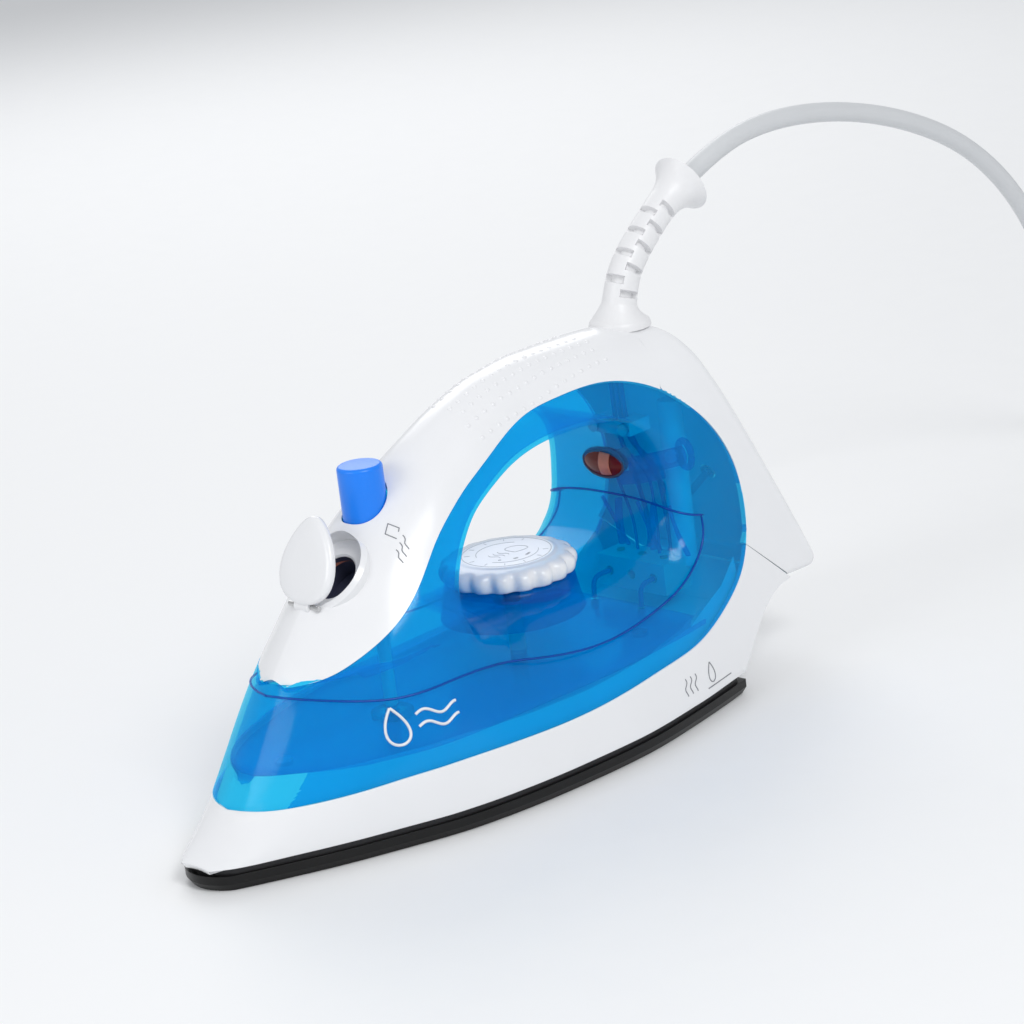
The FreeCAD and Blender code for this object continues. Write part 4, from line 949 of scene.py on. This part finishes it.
    def _outline(self) -> Array:
        """The rear cover's outline in side view: top line, rounded corner, leaning face and heel."""
        xs = np.linspace(214, 224, 12)
        height = float(IRON.top(0.78 * IRON.length)) - 0.4
        r = IRON.corner
        lean = math.atan(IRON.lean)
        centre_z = height - r
        centre_x = float(IRON.rear(centre_z)) - r / math.cos(lean)
        turn = np.linspace(0, math.pi / 2 - lean, 16)
        arc = np.stack([centre_x + r * np.sin(turn), centre_z + r * np.cos(turn)], -1)
        zs = np.linspace(centre_z - 4, IRON.heel + 4, 40)
        back = np.stack([IRON.rear(zs), zs], -1)
        heel = spline([(IRON.rear(IRON.heel + 3), IRON.heel + 3), (284.4, 33.6), (282.6, 31.6), (280, 31.3)], 12)
        under = np.stack([np.linspace(278, 262, 10), np.linspace(31.4, 32.6, 10)], -1)
        line = np.stack([xs, IRON.top(xs)], -1)
        return np.concatenate([line, arc, back, heel, under])

    def skirt(self) -> None:
        """The lower skirt: a band from its bottom edge up to the tank, and its face under the heel."""
        upper = spline(shares(BLUE_LOW[:-1] + [(0.854, 0.374)]), 150)
        upper[:, 1] -= self.gap
        nose = np.stack([np.linspace(0.3, upper[0, 0], 14)[:-1], IRON.top(np.linspace(0.3, upper[0, 0], 14)[:-1])], -1)
        split = np.linspace(upper[-1], (265.6, 32.2), 16)[1:]
        upper = np.concatenate([nose, upper, split])
        xs = np.linspace(0.3, IRON.length * IRON.sole_share, len(upper) - 40)
        bottom = np.stack([xs, np.full(len(xs), IRON.base)], -1)
        under = spline([(228.0, 8.0), (229.6, 9.4), (235.0, 14.5), (247, 25.4), (256, 30.4), (265.4, 32.0)], 41)[1:]
        lower = np.concatenate([bottom, under])
        lower[:, 0] = np.maximum(lower[:, 0], 0.3)
        shares_down = np.linspace(0, 1, 12)[:, None, None]
        right = IRON.on_side(upper + (lower - upper) * shares_down)
        across = np.linspace(1, -1, 15)[:, None, None]
        edge = right[-1, -41:]
        face = edge * (1, 0, 1) + across * edge * (0, 1, 0)
        band = [right, right * (1, -1, 1)]
        parts = [grid_object(f"skirt_{k}", g, sharp=50) for k, g in enumerate(band + [face])]
        both = joined("lower_skirt_skin", parts)
        mesh = both.data
        bpy.data.objects.remove(both)
        skin = finished("lower_skirt_skin", mesh, 50)
        solidify(skin, self.wall, 0.4)
        place(skin, WHITE, "white_plastic", stands_for=("lower_skirt",))

    def build(self) -> None:
        """Makes the three white covers."""
        self.handle_cover()
        self.rear_cover()
        self.skirt()


@dataclass(frozen=True)
class Lid:
    """The filler lid's plane: where its hinge is and how it leans."""

    station: float = 62.5
    closed: float = 41.69
    lift: float = 26.0
    middle: float = 15.0
    recess: float = 14.6
    depth: float = 5.5

    def hinge(self) -> Array:
        """The hinge pin's centre."""
        return np.array([self.station, 0.0, float(IRON.top(self.station)) - 1.2])

    def in_plane(self, points: Array, angle: float) -> Array:
        """Takes points (u, y, n) of a plane through the hinge to the iron's own axes.

        Args:
            points: u along the plane, y across, n square to it.
            angle: the plane's lean above the horizontal, in degrees.

        Returns:
            The points' x, y, z.
        """
        lean = math.radians(angle)
        u, y, n = points[..., 0], points[..., 1], points[..., 2]
        x = u * math.cos(lean) - n * math.sin(lean)
        z = u * math.sin(lean) + n * math.cos(lean)
        return np.stack([x, y, z], -1) + self.hinge()

    def ring(self, name: str, rows: Points, closed: bool = True) -> bpy.types.Object:
        """A turned shape about the filler's axis, from (radius, height) rows.

        Args:
            name: the object's name.
            rows: radii and heights above the closed lid's plane.
            closed: joins the last row to the first.

        Returns:
            The shape.
        """
        radius, height = np.array(rows, float).T
        turn = np.linspace(0, 2 * math.pi, 72, endpoint=False)
        u = self.middle + radius[:, None] * np.cos(turn)
        y = radius[:, None] * np.sin(turn)
        n = np.repeat(height[:, None], 72, 1)
        grid = self.in_plane(np.stack([u, y, n], -1), self.closed)
        return grid_object(name, grid, closed_u=closed, closed_v=True, sharp=35)

    def disc(self, name: str, radius: float, low: float, high: float) -> bpy.types.Object:
        """A closed round bar about the filler's axis."""
        return self.ring(name, [(0, high), (radius, high), (radius, low), (0, low)], closed=False)

    def _turned(self, name: str, rows: Array, narrowing: float = 0.0) -> bpy.types.Object:
        """A closed shape square to the open lid, from (half length, half width, height) rows.

        Args:
            name: the object's name.
            rows: the rows, from the middle of the top to the middle of the underside.
            narrowing: how much the shape narrows towards its tab, as a share of its width.

        Returns:
            The shape.
        """
        turn = np.linspace(0, 2 * math.pi, 96, endpoint=False)
        u = self.middle + 0.5 + rows[:, :1] * np.cos(turn)
        y = rows[:, 1:2] * np.sin(turn) * (1 - narrowing * np.cos(turn))
        n = np.repeat(rows[:, 2:], 96, 1)
        grid = self.in_plane(np.stack([u, y, n], -1), self.closed + self.lift)
        return grid_object(name, grid, closed_v=True, sharp=50)

    def build(self) -> None:
        """The lid itself: an egg-shaped leaf with a plug under it and a barrel round the pin."""
        section = np.array([(0, 3.4), (0.5, 3.35), (0.84, 3.1), (0.94, 2.75), (0.99, 2.2), (1.0, 1.6), (1.0, 0.5),
                            (0.97, 0.1), (0.93, 0.0), (0.0, 0.0)])
        leaf = self._turned("leaf", np.stack([15.2 * section[:, 0], 12.6 * section[:, 0], section[:, 1]], -1), 0.3)
        plug = self._turned("plug", np.array([(0, 0, 0.5), (7.4, 7.4, 0.5), (7.4, 7.4, -2), (7, 7, -2.4),
                                              (0, 0, -2.4)]))
        turn = np.linspace(0, 2 * math.pi, 40, endpoint=False)
        radius, across = np.array([(0, -3.5), (1.8, -3.5), (2, -3.3), (2, 3.3), (1.8, 3.5), (0, 3.5)]).T
        barrel = np.stack([radius[:, None] * np.cos(turn), np.repeat(across[:, None], 40, 1),
                           radius[:, None] * np.sin(turn)], -1)
        barrel = grid_object("barrel", self.in_plane(barrel, self.closed), closed_v=True, sharp=30)
        place(joined("lid_leaf", [leaf, plug, barrel]), WHITE, "white_plastic", body_of("filler_lid"), ("filler_lid",))


LID = Lid()


@dataclass
class Controls:
    """Dial, its printed marks, and the line drawings on the casing."""

    centre: tuple[float, float] = (DIAL_X, 0.0)
    radius: float = 25.4
    base: float = 62.0
    tall: float = 8.0
    grips: int = 18
    ink: float = 0.2
    lens_at: tuple[float, float] = (212.0, 88.0)
    lens_size: tuple[float, float] = (9.5, 5.0)

    def dial(self) -> None:
        """The dial: a turned profile whose skirt is scalloped, deepest below its shoulder."""
        r, low, high = self.radius, self.base, self.base + self.tall
        profile = [(0, high), (8, high), (0.66 * r, high), (0.69 * r, high - 0.05), (0.71 * r, high - 0.35),
                   (0.75 * r, high - 0.55), (0.82 * r, high - 0.75), (0.89 * r, high - 1.2), (0.94 * r, high - 1.9),
                   (0.975 * r, high - 2.9), (0.99 * r, high - 4.2), (0.985 * r, low + 2.4), (0.965 * r, low + 1.0),
                   (0.94 * r, low + 0.2), (0.91 * r, low), (0.86 * r, low), (0.84 * r, low + 1.0),
                   (0.84 * r, low + 3.6), (0.4 * r, low + 4.4), (0, low + 4.4)]
        turn = np.linspace(0, 2 * math.pi, 288, endpoint=False)
        wave = 0.5 - 0.5 * np.cos(turn * self.grips)
        groove = wave ** 1.6
        depth = np.interp(np.arange(len(profile)), [0, 4, 6, 7, 8, 10, 12, 14, 15],
                          [0, 0, 0.0, 0.035, 0.06, 0.075, 0.07, 0.045, 0])
        ripple = 1 - depth[:, None] * groove
        knob = revolve("dial_knob", profile, self.centre, 288, ripple, sharp=50)
        place(knob, WHITE, "white_plastic", "dial", ("thermostat_dial",))

    def _flat_marks(self, name: str, strokes: list[Array], width: float, z: float) -> bpy.types.Object:
        """Draws strokes as thin flat bands on a level surface.

        Args:
            name: the object's name.
            strokes: each one rows of x, y.
            width: the bands' width.
            z: the surface's height.

        Returns:
            The bands.
        """
        bands = []
        for stroke in strokes:
            ahead = np.gradient(stroke, axis=0)
            ahead /= np.linalg.norm(ahead, axis=1)[:, None] + 1e-9
            side = np.stack([-ahead[:, 1], ahead[:, 0]], -1) * width / 2
            edges = [(stroke + side, z + 0.05), (stroke - side, z + 0.05),
                     (stroke - side, z - 0.1), (stroke + side, z - 0.1)]
            grid = np.array([np.column_stack([p, np.full(len(p), h)]) for p, h in edges])
            bands.append(grid_object("band", grid, closed_u=True, sharp=30))
        return joined(name, bands)

    def print_dial(self) -> None:
        """Rings, steam arrows and setting marks printed on the dial's flat top."""
        top = self.base + self.tall
        cx, cy = self.centre
        strokes = []
        for radius, start, stop in ((16.2, 0, 360), (11.0, 30, 150), (11.6, 200, 320)):
            turn = np.radians(np.linspace(start, stop, 70))
            strokes.append(np.stack([cx + radius * np.cos(turn), cy + radius * np.sin(turn)], -1))
        for k in range(11):
            turn = math.radians(20 + 29 * k)
            way = np.array([math.cos(turn), math.sin(turn)])
            strokes.append(np.array([cx, cy]) + way * np.linspace(13.2, 15.2, 4)[:, None])
        for k in range(3):
            for dot in range(k + 1):
                turn = math.radians(210 + 35 * k + 5 * dot)
                spot = np.array([cx, cy]) + 9.0 * np.array([math.cos(turn), math.sin(turn)])
                ring = np.radians(np.linspace(0, 360, 14))
                strokes.append(spot + 0.45 * np.stack([np.cos(ring), np.sin(ring)], -1))
        for k in range(3):
            along = np.linspace(0, 1, 16)
            x = cx - 6 + 2.2 * k + 0.7 * np.sin(along * 2 * math.pi)
            strokes.append(np.stack([x, cy - 3 + 6 * along], -1))
        iron = np.array([(-1, -4), (5.5, -4), (5.5, -1), (2.5, 2.0), (-0.2, 2.0), (-1, -4)], float)
        strokes.append(spline(iron + (cx + 2.5, cy + 1.0), 24))
        marks = self._flat_marks("dial_print", strokes, self.ink, top)
        place(marks, INK, "white_plastic", "dial")

    def _side_marks(self, strokes: list[Array], lift: float = 0.06) -> list[bpy.types.Object]:
        """Lays strokes, given in side view, as fine beads on the casing's right side."""
        return [bead("stroke", IRON.on_side(s) - np.array([0, lift, 0]), self.ink, 6, flat=1.0) for s in strokes]

    def _wave(self, start: tuple[float, float], stop: tuple[float, float], swing: float) -> Array:
        """A stroke from start to stop that swings from side to side as a sine.

        Args:
            start: its first point in side view.
            stop: its last point.
            swing: how far it swings.

        Returns:
            The stroke's points.
        """
        along = np.linspace(0, 1, 30)
        way = np.subtract(stop, start)
        side = np.array([-way[1], way[0]]) / np.linalg.norm(way)
        return np.array(start) + way * along[:, None] + side * (swing * np.sin(along * 2.5 * math.pi))[:, None]

    def _drop(self, middle: tuple[float, float], half: float, tall: float) -> Array:
        """A water drop's outline: a circle drawn in towards its upper end."""
        turn = np.linspace(0, 2 * math.pi, 60)
        return np.stack([middle[0] + half * np.sin(turn) * np.sin(turn / 2), middle[1] + tall * np.cos(turn)], -1)

    def line_drawings(self) -> None:
        """Steam waves by the button and at the skirt's rear, a small key and a drop."""
        strokes = [self._wave((94.6, 98.4), (93.4, 94.2), 0.28), self._wave((92.4, 96.5), (91.4, 92.2), 0.28),
                   self._wave((90.2, 94.7), (89.4, 90.6), 0.28)]
        key = [(92.4, 97.7), (90.6, 99.5), (93.3, 102.2), (95.1, 100.6), (94.2, 99.6)]
        strokes.append(np.concatenate([np.linspace(a, b, 5) for a, b in zip(key, key[1:])]))
        strokes += [self._wave((x, 18.6), (x - 1.2, 12.6), 0.6) for x in (191.2, 194.2, 197.2)]
        strokes.append(self._drop((207.0, 15.9), 2.6, 3.6))
        strokes.append(np.linspace((203.0, 11.0), (219.0, 11.0), 12))
        place(joined("line_drawings", self._side_marks(strokes)), INK, "white_plastic")

    def emblem(self) -> None:
        """A plain water drop and two waves on the tank's side, in white."""
        strokes = [self._drop((65.5, 42.0), 5.0, 6.2)]
        strokes += [self._wave((72.5, 44.5 - 4.2 * k), (87.5, 44.0 - 4.2 * k), 1.2) for k in range(2)]
        beads = [bead("stroke", IRON.on_side(s) - np.array([0, 0.1, 0]), 0.55, 6) for s in strokes]
        place(joined("drop_emblem", beads), WHITE, "white_plastic")

    def spring(self) -> None:
        """The button's spring: wire wound evenly round the tower."""
        low, high = (np.array(corner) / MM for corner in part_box("steam_spring"))
        turn = np.linspace(0, 2 * math.pi * 9, 360)
        height = np.linspace(low[2] + 0.6, high[2] - 0.6, 360)
        path = np.stack([BUTTON_X + 5.5 * np.cos(turn), 5.5 * np.sin(turn), height], -1)
        coil = place(bead("button_spring", path, 0.5), STEEL, "steel", body_of("steam_spring"), ("steam_spring",))
        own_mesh(coil)

    def lens(self) -> None:
        """The pilot lens: an oval dome with a lighter band that is a painted highlight, and a dark groove round it
        that is painted shade.

        The dome stands out by 1 - r squared, with r the distance from the middle over the oval's.
        """
        r, turn = np.meshgrid(np.linspace(0, 1, 12), np.linspace(0, 2 * math.pi, 64, endpoint=False), indexing="ij")
        x0, z0 = self.lens_at
        half, tall = self.lens_size
        y, z = half * r * np.cos(turn), z0 + tall * r * np.sin(turn)
        dome = np.stack([x0 - 0.6 - 1.8 * (1 - r ** 2), y, z], -1)
        foot = np.stack([np.full_like(turn[:1], x0 + 3.0), y[-1:], z[-1:]], -1)
        close = np.stack([np.full_like(turn[:1], x0 + 3.0), y[:1], z[:1]], -1)
        place(grid_object("lens_dome", np.concatenate([dome, foot, close]), closed_v=True), LENS_RED, "red_lens",
              stands_for=("pilot_lens",))
        # A light red sheet just over the dome in the painted highlight finish: a painted reflection band on the lens.
        u, v = np.meshgrid(np.linspace(0.45, -4.4, 12), np.linspace(-0.86, 0.86, 20))
        height = z0 + tall * v * np.sqrt(1 - (u / half) ** 2)
        share = (u / half) ** 2 + ((height - z0) / tall) ** 2
        band = grid_object("lens_reflection_sheet", np.stack([x0 - 0.68 - 1.8 * (1 - share), u, height], -1))
        solidify(band, 0.3, 0)
        place(band, LENS_HIGHLIGHT, "red_lens")
        # The groove is a dark bead in the shadow finish: painted shade round the lens.
        turn = np.linspace(0, 2 * math.pi, 72, endpoint=False)
        groove = np.stack([np.full_like(turn, x0 - 0.3), (half + 0.5) * np.cos(turn),
                           z0 + (tall + 0.5) * np.sin(turn)], -1)
        place(bead("lens_groove_shade", groove, 0.55, 8, closed=True), SHADOW, "clear_blue")

    def build(self) -> None:
        """Makes the dial and everything printed."""
        self.dial()
        self.print_dial()
        self.line_drawings()
        self.emblem()
        self.spring()
        self.lens()


@dataclass
class StrainRelief:
    """The ribbed boot on the handle's back end: a collar, slotted ribs and a trumpet mouth."""

    foot: tuple[float, float] = (228.0, 137.3)
    route: Points = field(default_factory=lambda: [(0, -1.8), (0.2, 2.5), (1.8, 9), (4.9, 16), (10.5, 22.8),
                                                   (17, 28.3), (24, 33.6), (31, 38), (35.4, 40.3), (40, 42.4)])
    radii: Points = field(default_factory=lambda: [(0, 11.6), (0.03, 11.2), (0.06, 9.6), (0.1, 7.6), (0.14, 6.5),
                                                   (0.3, 6.2), (0.7, 5.9), (0.82, 6.1), (0.89, 7.0), (0.95, 8.9),
                                                   (1.0, 11.6)])
    slot: float = 0.02
    sink: float = 0.36
    first_slot: float = 0.19
    slot_step: float = 0.0715

    def _depth(self, along: Array, turn: Array) -> Array:
        """How far the slots cut in: bands across the route, open to the sides and fore and aft in turn.

        Args:
            along: shares of the route's length.
            turn: angles round it, nought towards the iron's side.

        Returns:
            Shares of the radius that are cut away.
        """
        cut = np.zeros(np.broadcast(along, turn).shape)
        for k in range(9):
            band = np.clip((self.slot - np.abs(along - self.first_slot - self.slot_step * k)) / 0.003, 0, 1)
            facing = np.abs(np.cos(turn)) if k % 2 == 0 else np.abs(np.sin(turn))
            open_part = np.clip((facing - 0.66) / 0.05, 0, 1)
            cut = np.maximum(cut, band * open_part)
        return self.sink * cut

    def build(self) -> None:
        """Makes the boot: rings square to the route, their radius read from a table less the slots."""
        line = spline(self.route, 400)
        length = np.concatenate([[0], np.cumsum(np.linalg.norm(np.diff(line, axis=0), axis=1))])
        along = np.concatenate([np.linspace(0, 1, 260), [1.0, 0.995, 0.97, 0.94, 0.90, 0.88]])
        run = np.interp(along * length[-1], length, line[:, 0]) + self.foot[0]
        rise = np.interp(along * length[-1], length, line[:, 1]) + self.foot[1]
        step = 0.01 * length[-1]
        ahead = np.stack([np.interp(along * length[-1] + step, length, line[:, k])
                          - np.interp(along * length[-1] - step, length, line[:, k]) for k in (0, 1)], -1)
        ahead /= np.linalg.norm(ahead, axis=1)[:, None]
        radius = smooth_table(self.radii, along)
        radius[260:] = [11.1, 10.6, 8.6, 6.4, 4.2, 0.0]
        turn = np.linspace(0, 2 * math.pi, 96, endpoint=False)[None]
        size = radius[:, None] * (1 - self._depth(along[:, None], turn))
        side, fore = size * np.cos(turn), size * np.sin(turn)
        grid = np.stack([run[:, None] + fore * ahead[:, 1:], side, rise[:, None] - fore * ahead[:, :1]], -1)
        under = np.repeat(np.array([[[self.foot[0], 0.0, self.foot[1] - 1.8]]]), 96, 1)
        boot = grid_object("strain_relief", np.concatenate([under, grid]), closed_v=True, sharp=48)
        place(boot, BOOT, "lead_rubber", stands_for=("cord_boot",))


@dataclass
class Lead:
    """The mains lead: from the strain relief up and over to the floor, and a coil."""

    diameter: float = 7.6
    exit: tuple[float, float, float] = (268.0, 0.0, 179.75)
    route: list[tuple[float, float, float | None]] = field(default_factory=lambda: [
        (0, 0, 0), (21, 0, 9.5), (53, 0, 13), (92, 0, 8), (131, -1, -4), (167, -1, -22), (196, 0, -47),
        (218, 3, -77), (237, 7, -107), (259, 12, -134), (287, 17, -156), (322, 20, -170), (357, 20, None),
        (385, 20, None)])
    coil_radius: float = 42.0
    turns: float = 5.0

    def points(self) -> Array:
        """The route's points, then the coil's turns.

        Returns:
            Rows of x, y, z in millimetres.
        """
        radius = self.diameter / 2
        start = np.array(self.exit)
        run = np.array([(start[0] + x, y, radius + 0.1 if z is None else start[2] + z) for x, y, z in self.route])
        centre = np.array([run[-1, 0] + 4, run[-1, 1] - self.coil_radius])
        steps = int(self.turns * 14)
        k = np.arange(1, steps)
        turn = math.pi / 2 - 2 * math.pi * k / 14
        turns = k / 14
        layer = np.floor(turns / 2)
        within = turns - 2 * layer
        out = np.where(layer % 2 == 0, 1, -1) * (within - 1) * self.diameter * 0.52
        height = radius + 0.1 + (self.diameter - 0.1) * np.clip(turns / 2, 0, 2.4) * 0.9
        ring = np.stack([centre[0] + (self.coil_radius + out) * np.cos(turn),
                         centre[1] + (self.coil_radius + out) * np.sin(turn), height], -1)
        return np.concatenate([run, ring])

    def build(self) -> None:
        data = bpy.data.curves.new("mains_lead", "CURVE")
        data.dimensions = "3D"
        points = (self.points() + np.array([-IRON.length / 2, 0, 0])) * MM
        line = data.splines.new("NURBS")
        line.points.add(len(points) - 1)
        line.points.foreach_set("co", np.column_stack([points, np.ones(len(points))]).ravel())
        line.order_u = 3
        line.use_endpoint_u = True
        line.resolution_u = 6
        data.bevel_depth = self.diameter / 2 * MM
        data.bevel_resolution = 5
        data.use_fill_caps = True
        made = bpy.data.objects.new("mains_lead", data)
        bpy.context.scene.collection.objects.link(made)
        place(made, LEAD, "lead_rubber", stands_for=("power_cord", "cord_coil"))


# ---------------------------------------------------------------- pieces kept from the frame


def body_of(name: str) -> str:
    """The body that a node of the frame rides on."""
    return next(b for b, names in frame["record"]["behaviour"]["bodies"].items() if name in names)


def carried(name: str, finish: Finish, sharp: float = 32.0, bevel: float = 0.0) -> None:
    """Shows a node by a merged, smooth-shaded copy of its own mesh.

    Args:
        name: the node.
        finish: its finish.
        sharp: edges bent more than this many degrees stay sharp.
        bevel: a radius on its sharp edges, in millimetres.
    """
    node = frame["nodes"][name]
    mesh = node.data.copy()
    mesh.materials.clear()
    slot = next(s["material_slot"] for s in frame["record"]["subparts"] if s["node"] == name)
    made = finished(f"{name}_piece", mesh, sharp, 2e-6)
    if bevel:
        edge = made.modifiers.new("edges", "BEVEL")
        edge.width = bevel * MM
        edge.segments = 3
        edge.limit_method = "ANGLE"
        edge.angle_limit = math.radians(40)
    place(made, finish, slot, body_of(name), (name,))


def dress_frame() -> None:
    """Gives every node that is still shown its slot's finish."""
    slots = {s["node"]: s["material_slot"] for s in frame["record"]["subparts"]}
    for name, node in frame["nodes"].items():
        finish = SLOT_FINISH[slots[name]].material()
        for k in range(max(1, len(node.material_slots))):
            if len(node.material_slots) <= k:
                node.data.materials.append(finish)
            node.material_slots[k].material = finish


# ---------------------------------------------------------------- stage, camera and lights


def camera() -> None:
    """Sets the camera: in front and to the right of the nose, looking down a little and rolled."""
    target = Vector((147.17 - IRON.length / 2, -17.17, 90.69)) * MM
    azimuth, elevation, roll = math.radians(-43), math.radians(17), math.radians(7)
    back = Vector((math.sin(azimuth) * math.cos(elevation), -math.cos(azimuth) * math.cos(elevation),
                   math.sin(elevation)))
    right = Vector((math.cos(azimuth), math.sin(azimuth), 0))
    up = back.cross(right)
    across = math.cos(roll) * right - math.sin(roll) * up
    upward = math.sin(roll) * right + math.cos(roll) * up
    data = bpy.data.cameras.new("camera")
    data.lens = 120.4
    data.sensor_width = 36
    data.clip_start = 0.05
    seen = bpy.data.objects.new("camera", data)
    turn = Matrix((across, upward, back)).transposed().to_4x4()
    seen.matrix_world = Matrix.Translation(target + back * 1.2) @ turn
    bpy.context.scene.collection.objects.link(seen)
    bpy.context.scene.camera = seen


def lamp(name: str, spot: tuple[float, float, float], size: float, power: float) -> None:
    """Adds a square soft light that faces the iron.

    Args:
        name: the light's name.
        spot: where it stands, in metres.
        size: its side, in metres.
        power: its power in watts.
    """
    data = bpy.data.lights.new(name, "AREA")
    data.shape = "SQUARE"
    data.size = size
    data.energy = power
    made = bpy.data.objects.new(name, data)
    place_at = Vector(spot)
    made.location = place_at
    made.rotation_euler = (Vector((0, 0, 0.07)) - place_at).to_track_quat("-Z", "Y").to_euler()
    bpy.context.scene.collection.objects.link(made)


def stage() -> None:
    """Adds a plain pale floor, a pale sky and soft studio lights."""
    world = bpy.data.worlds.new("studio")
    world.use_nodes = True
    bpy.context.scene.view_settings.view_transform = "Standard"
    sky = world.node_tree.nodes["Background"]
    sky.inputs["Color"].default_value = (0.95, 0.97, 1.0, 1)
    sky.inputs["Strength"].default_value = 0.62
    bpy.context.scene.world = world
    half = 6.0
    mesh = bpy.data.meshes.new("floor")
    mesh.from_pydata([(-half, -half, 0), (half, -half, 0), (half, half, 0), (-half, half, 0)], [], [(0, 1, 2, 3)])
    floor = bpy.data.objects.new("floor", mesh)
    floor.location.z = -0.0002
    bpy.context.scene.collection.objects.link(floor)
    dress(floor, Finish("floor_pale", (0.86, 0.865, 0.87), roughness=0.6, mottle=0.01, grain=0.0))
    lamp("key", (-0.3, -1.2, 1.3), 0.6, 11.0)
    lamp("left", (-1.5, 0.2, 0.8), 0.7, 5.0)
    lamp("behind", (0.9, 1.2, 1.0), 1.0, 7.0)


def main() -> None:
    """Builds the iron in order."""
    logging.basicConfig(level=logging.INFO, format="%(name)s %(message)s")
    camera()
    Lead().build()
    stage()
    dress_frame()
    Tank().build()
    Casing().build()
    Controls().build()
    StrainRelief().build()
    carried("steam_button", BUTTON_BLUE, 40)
    LID.build()
    carried("soleplate", COATING, 25, 0.4)
    # The casting shows only in the shaded gap under the skirt, so it gets the near-black painted shade finish.
    carried("sole_casting", CASTING_SHADE, 30)


if __name__ == "__main__":
    main()
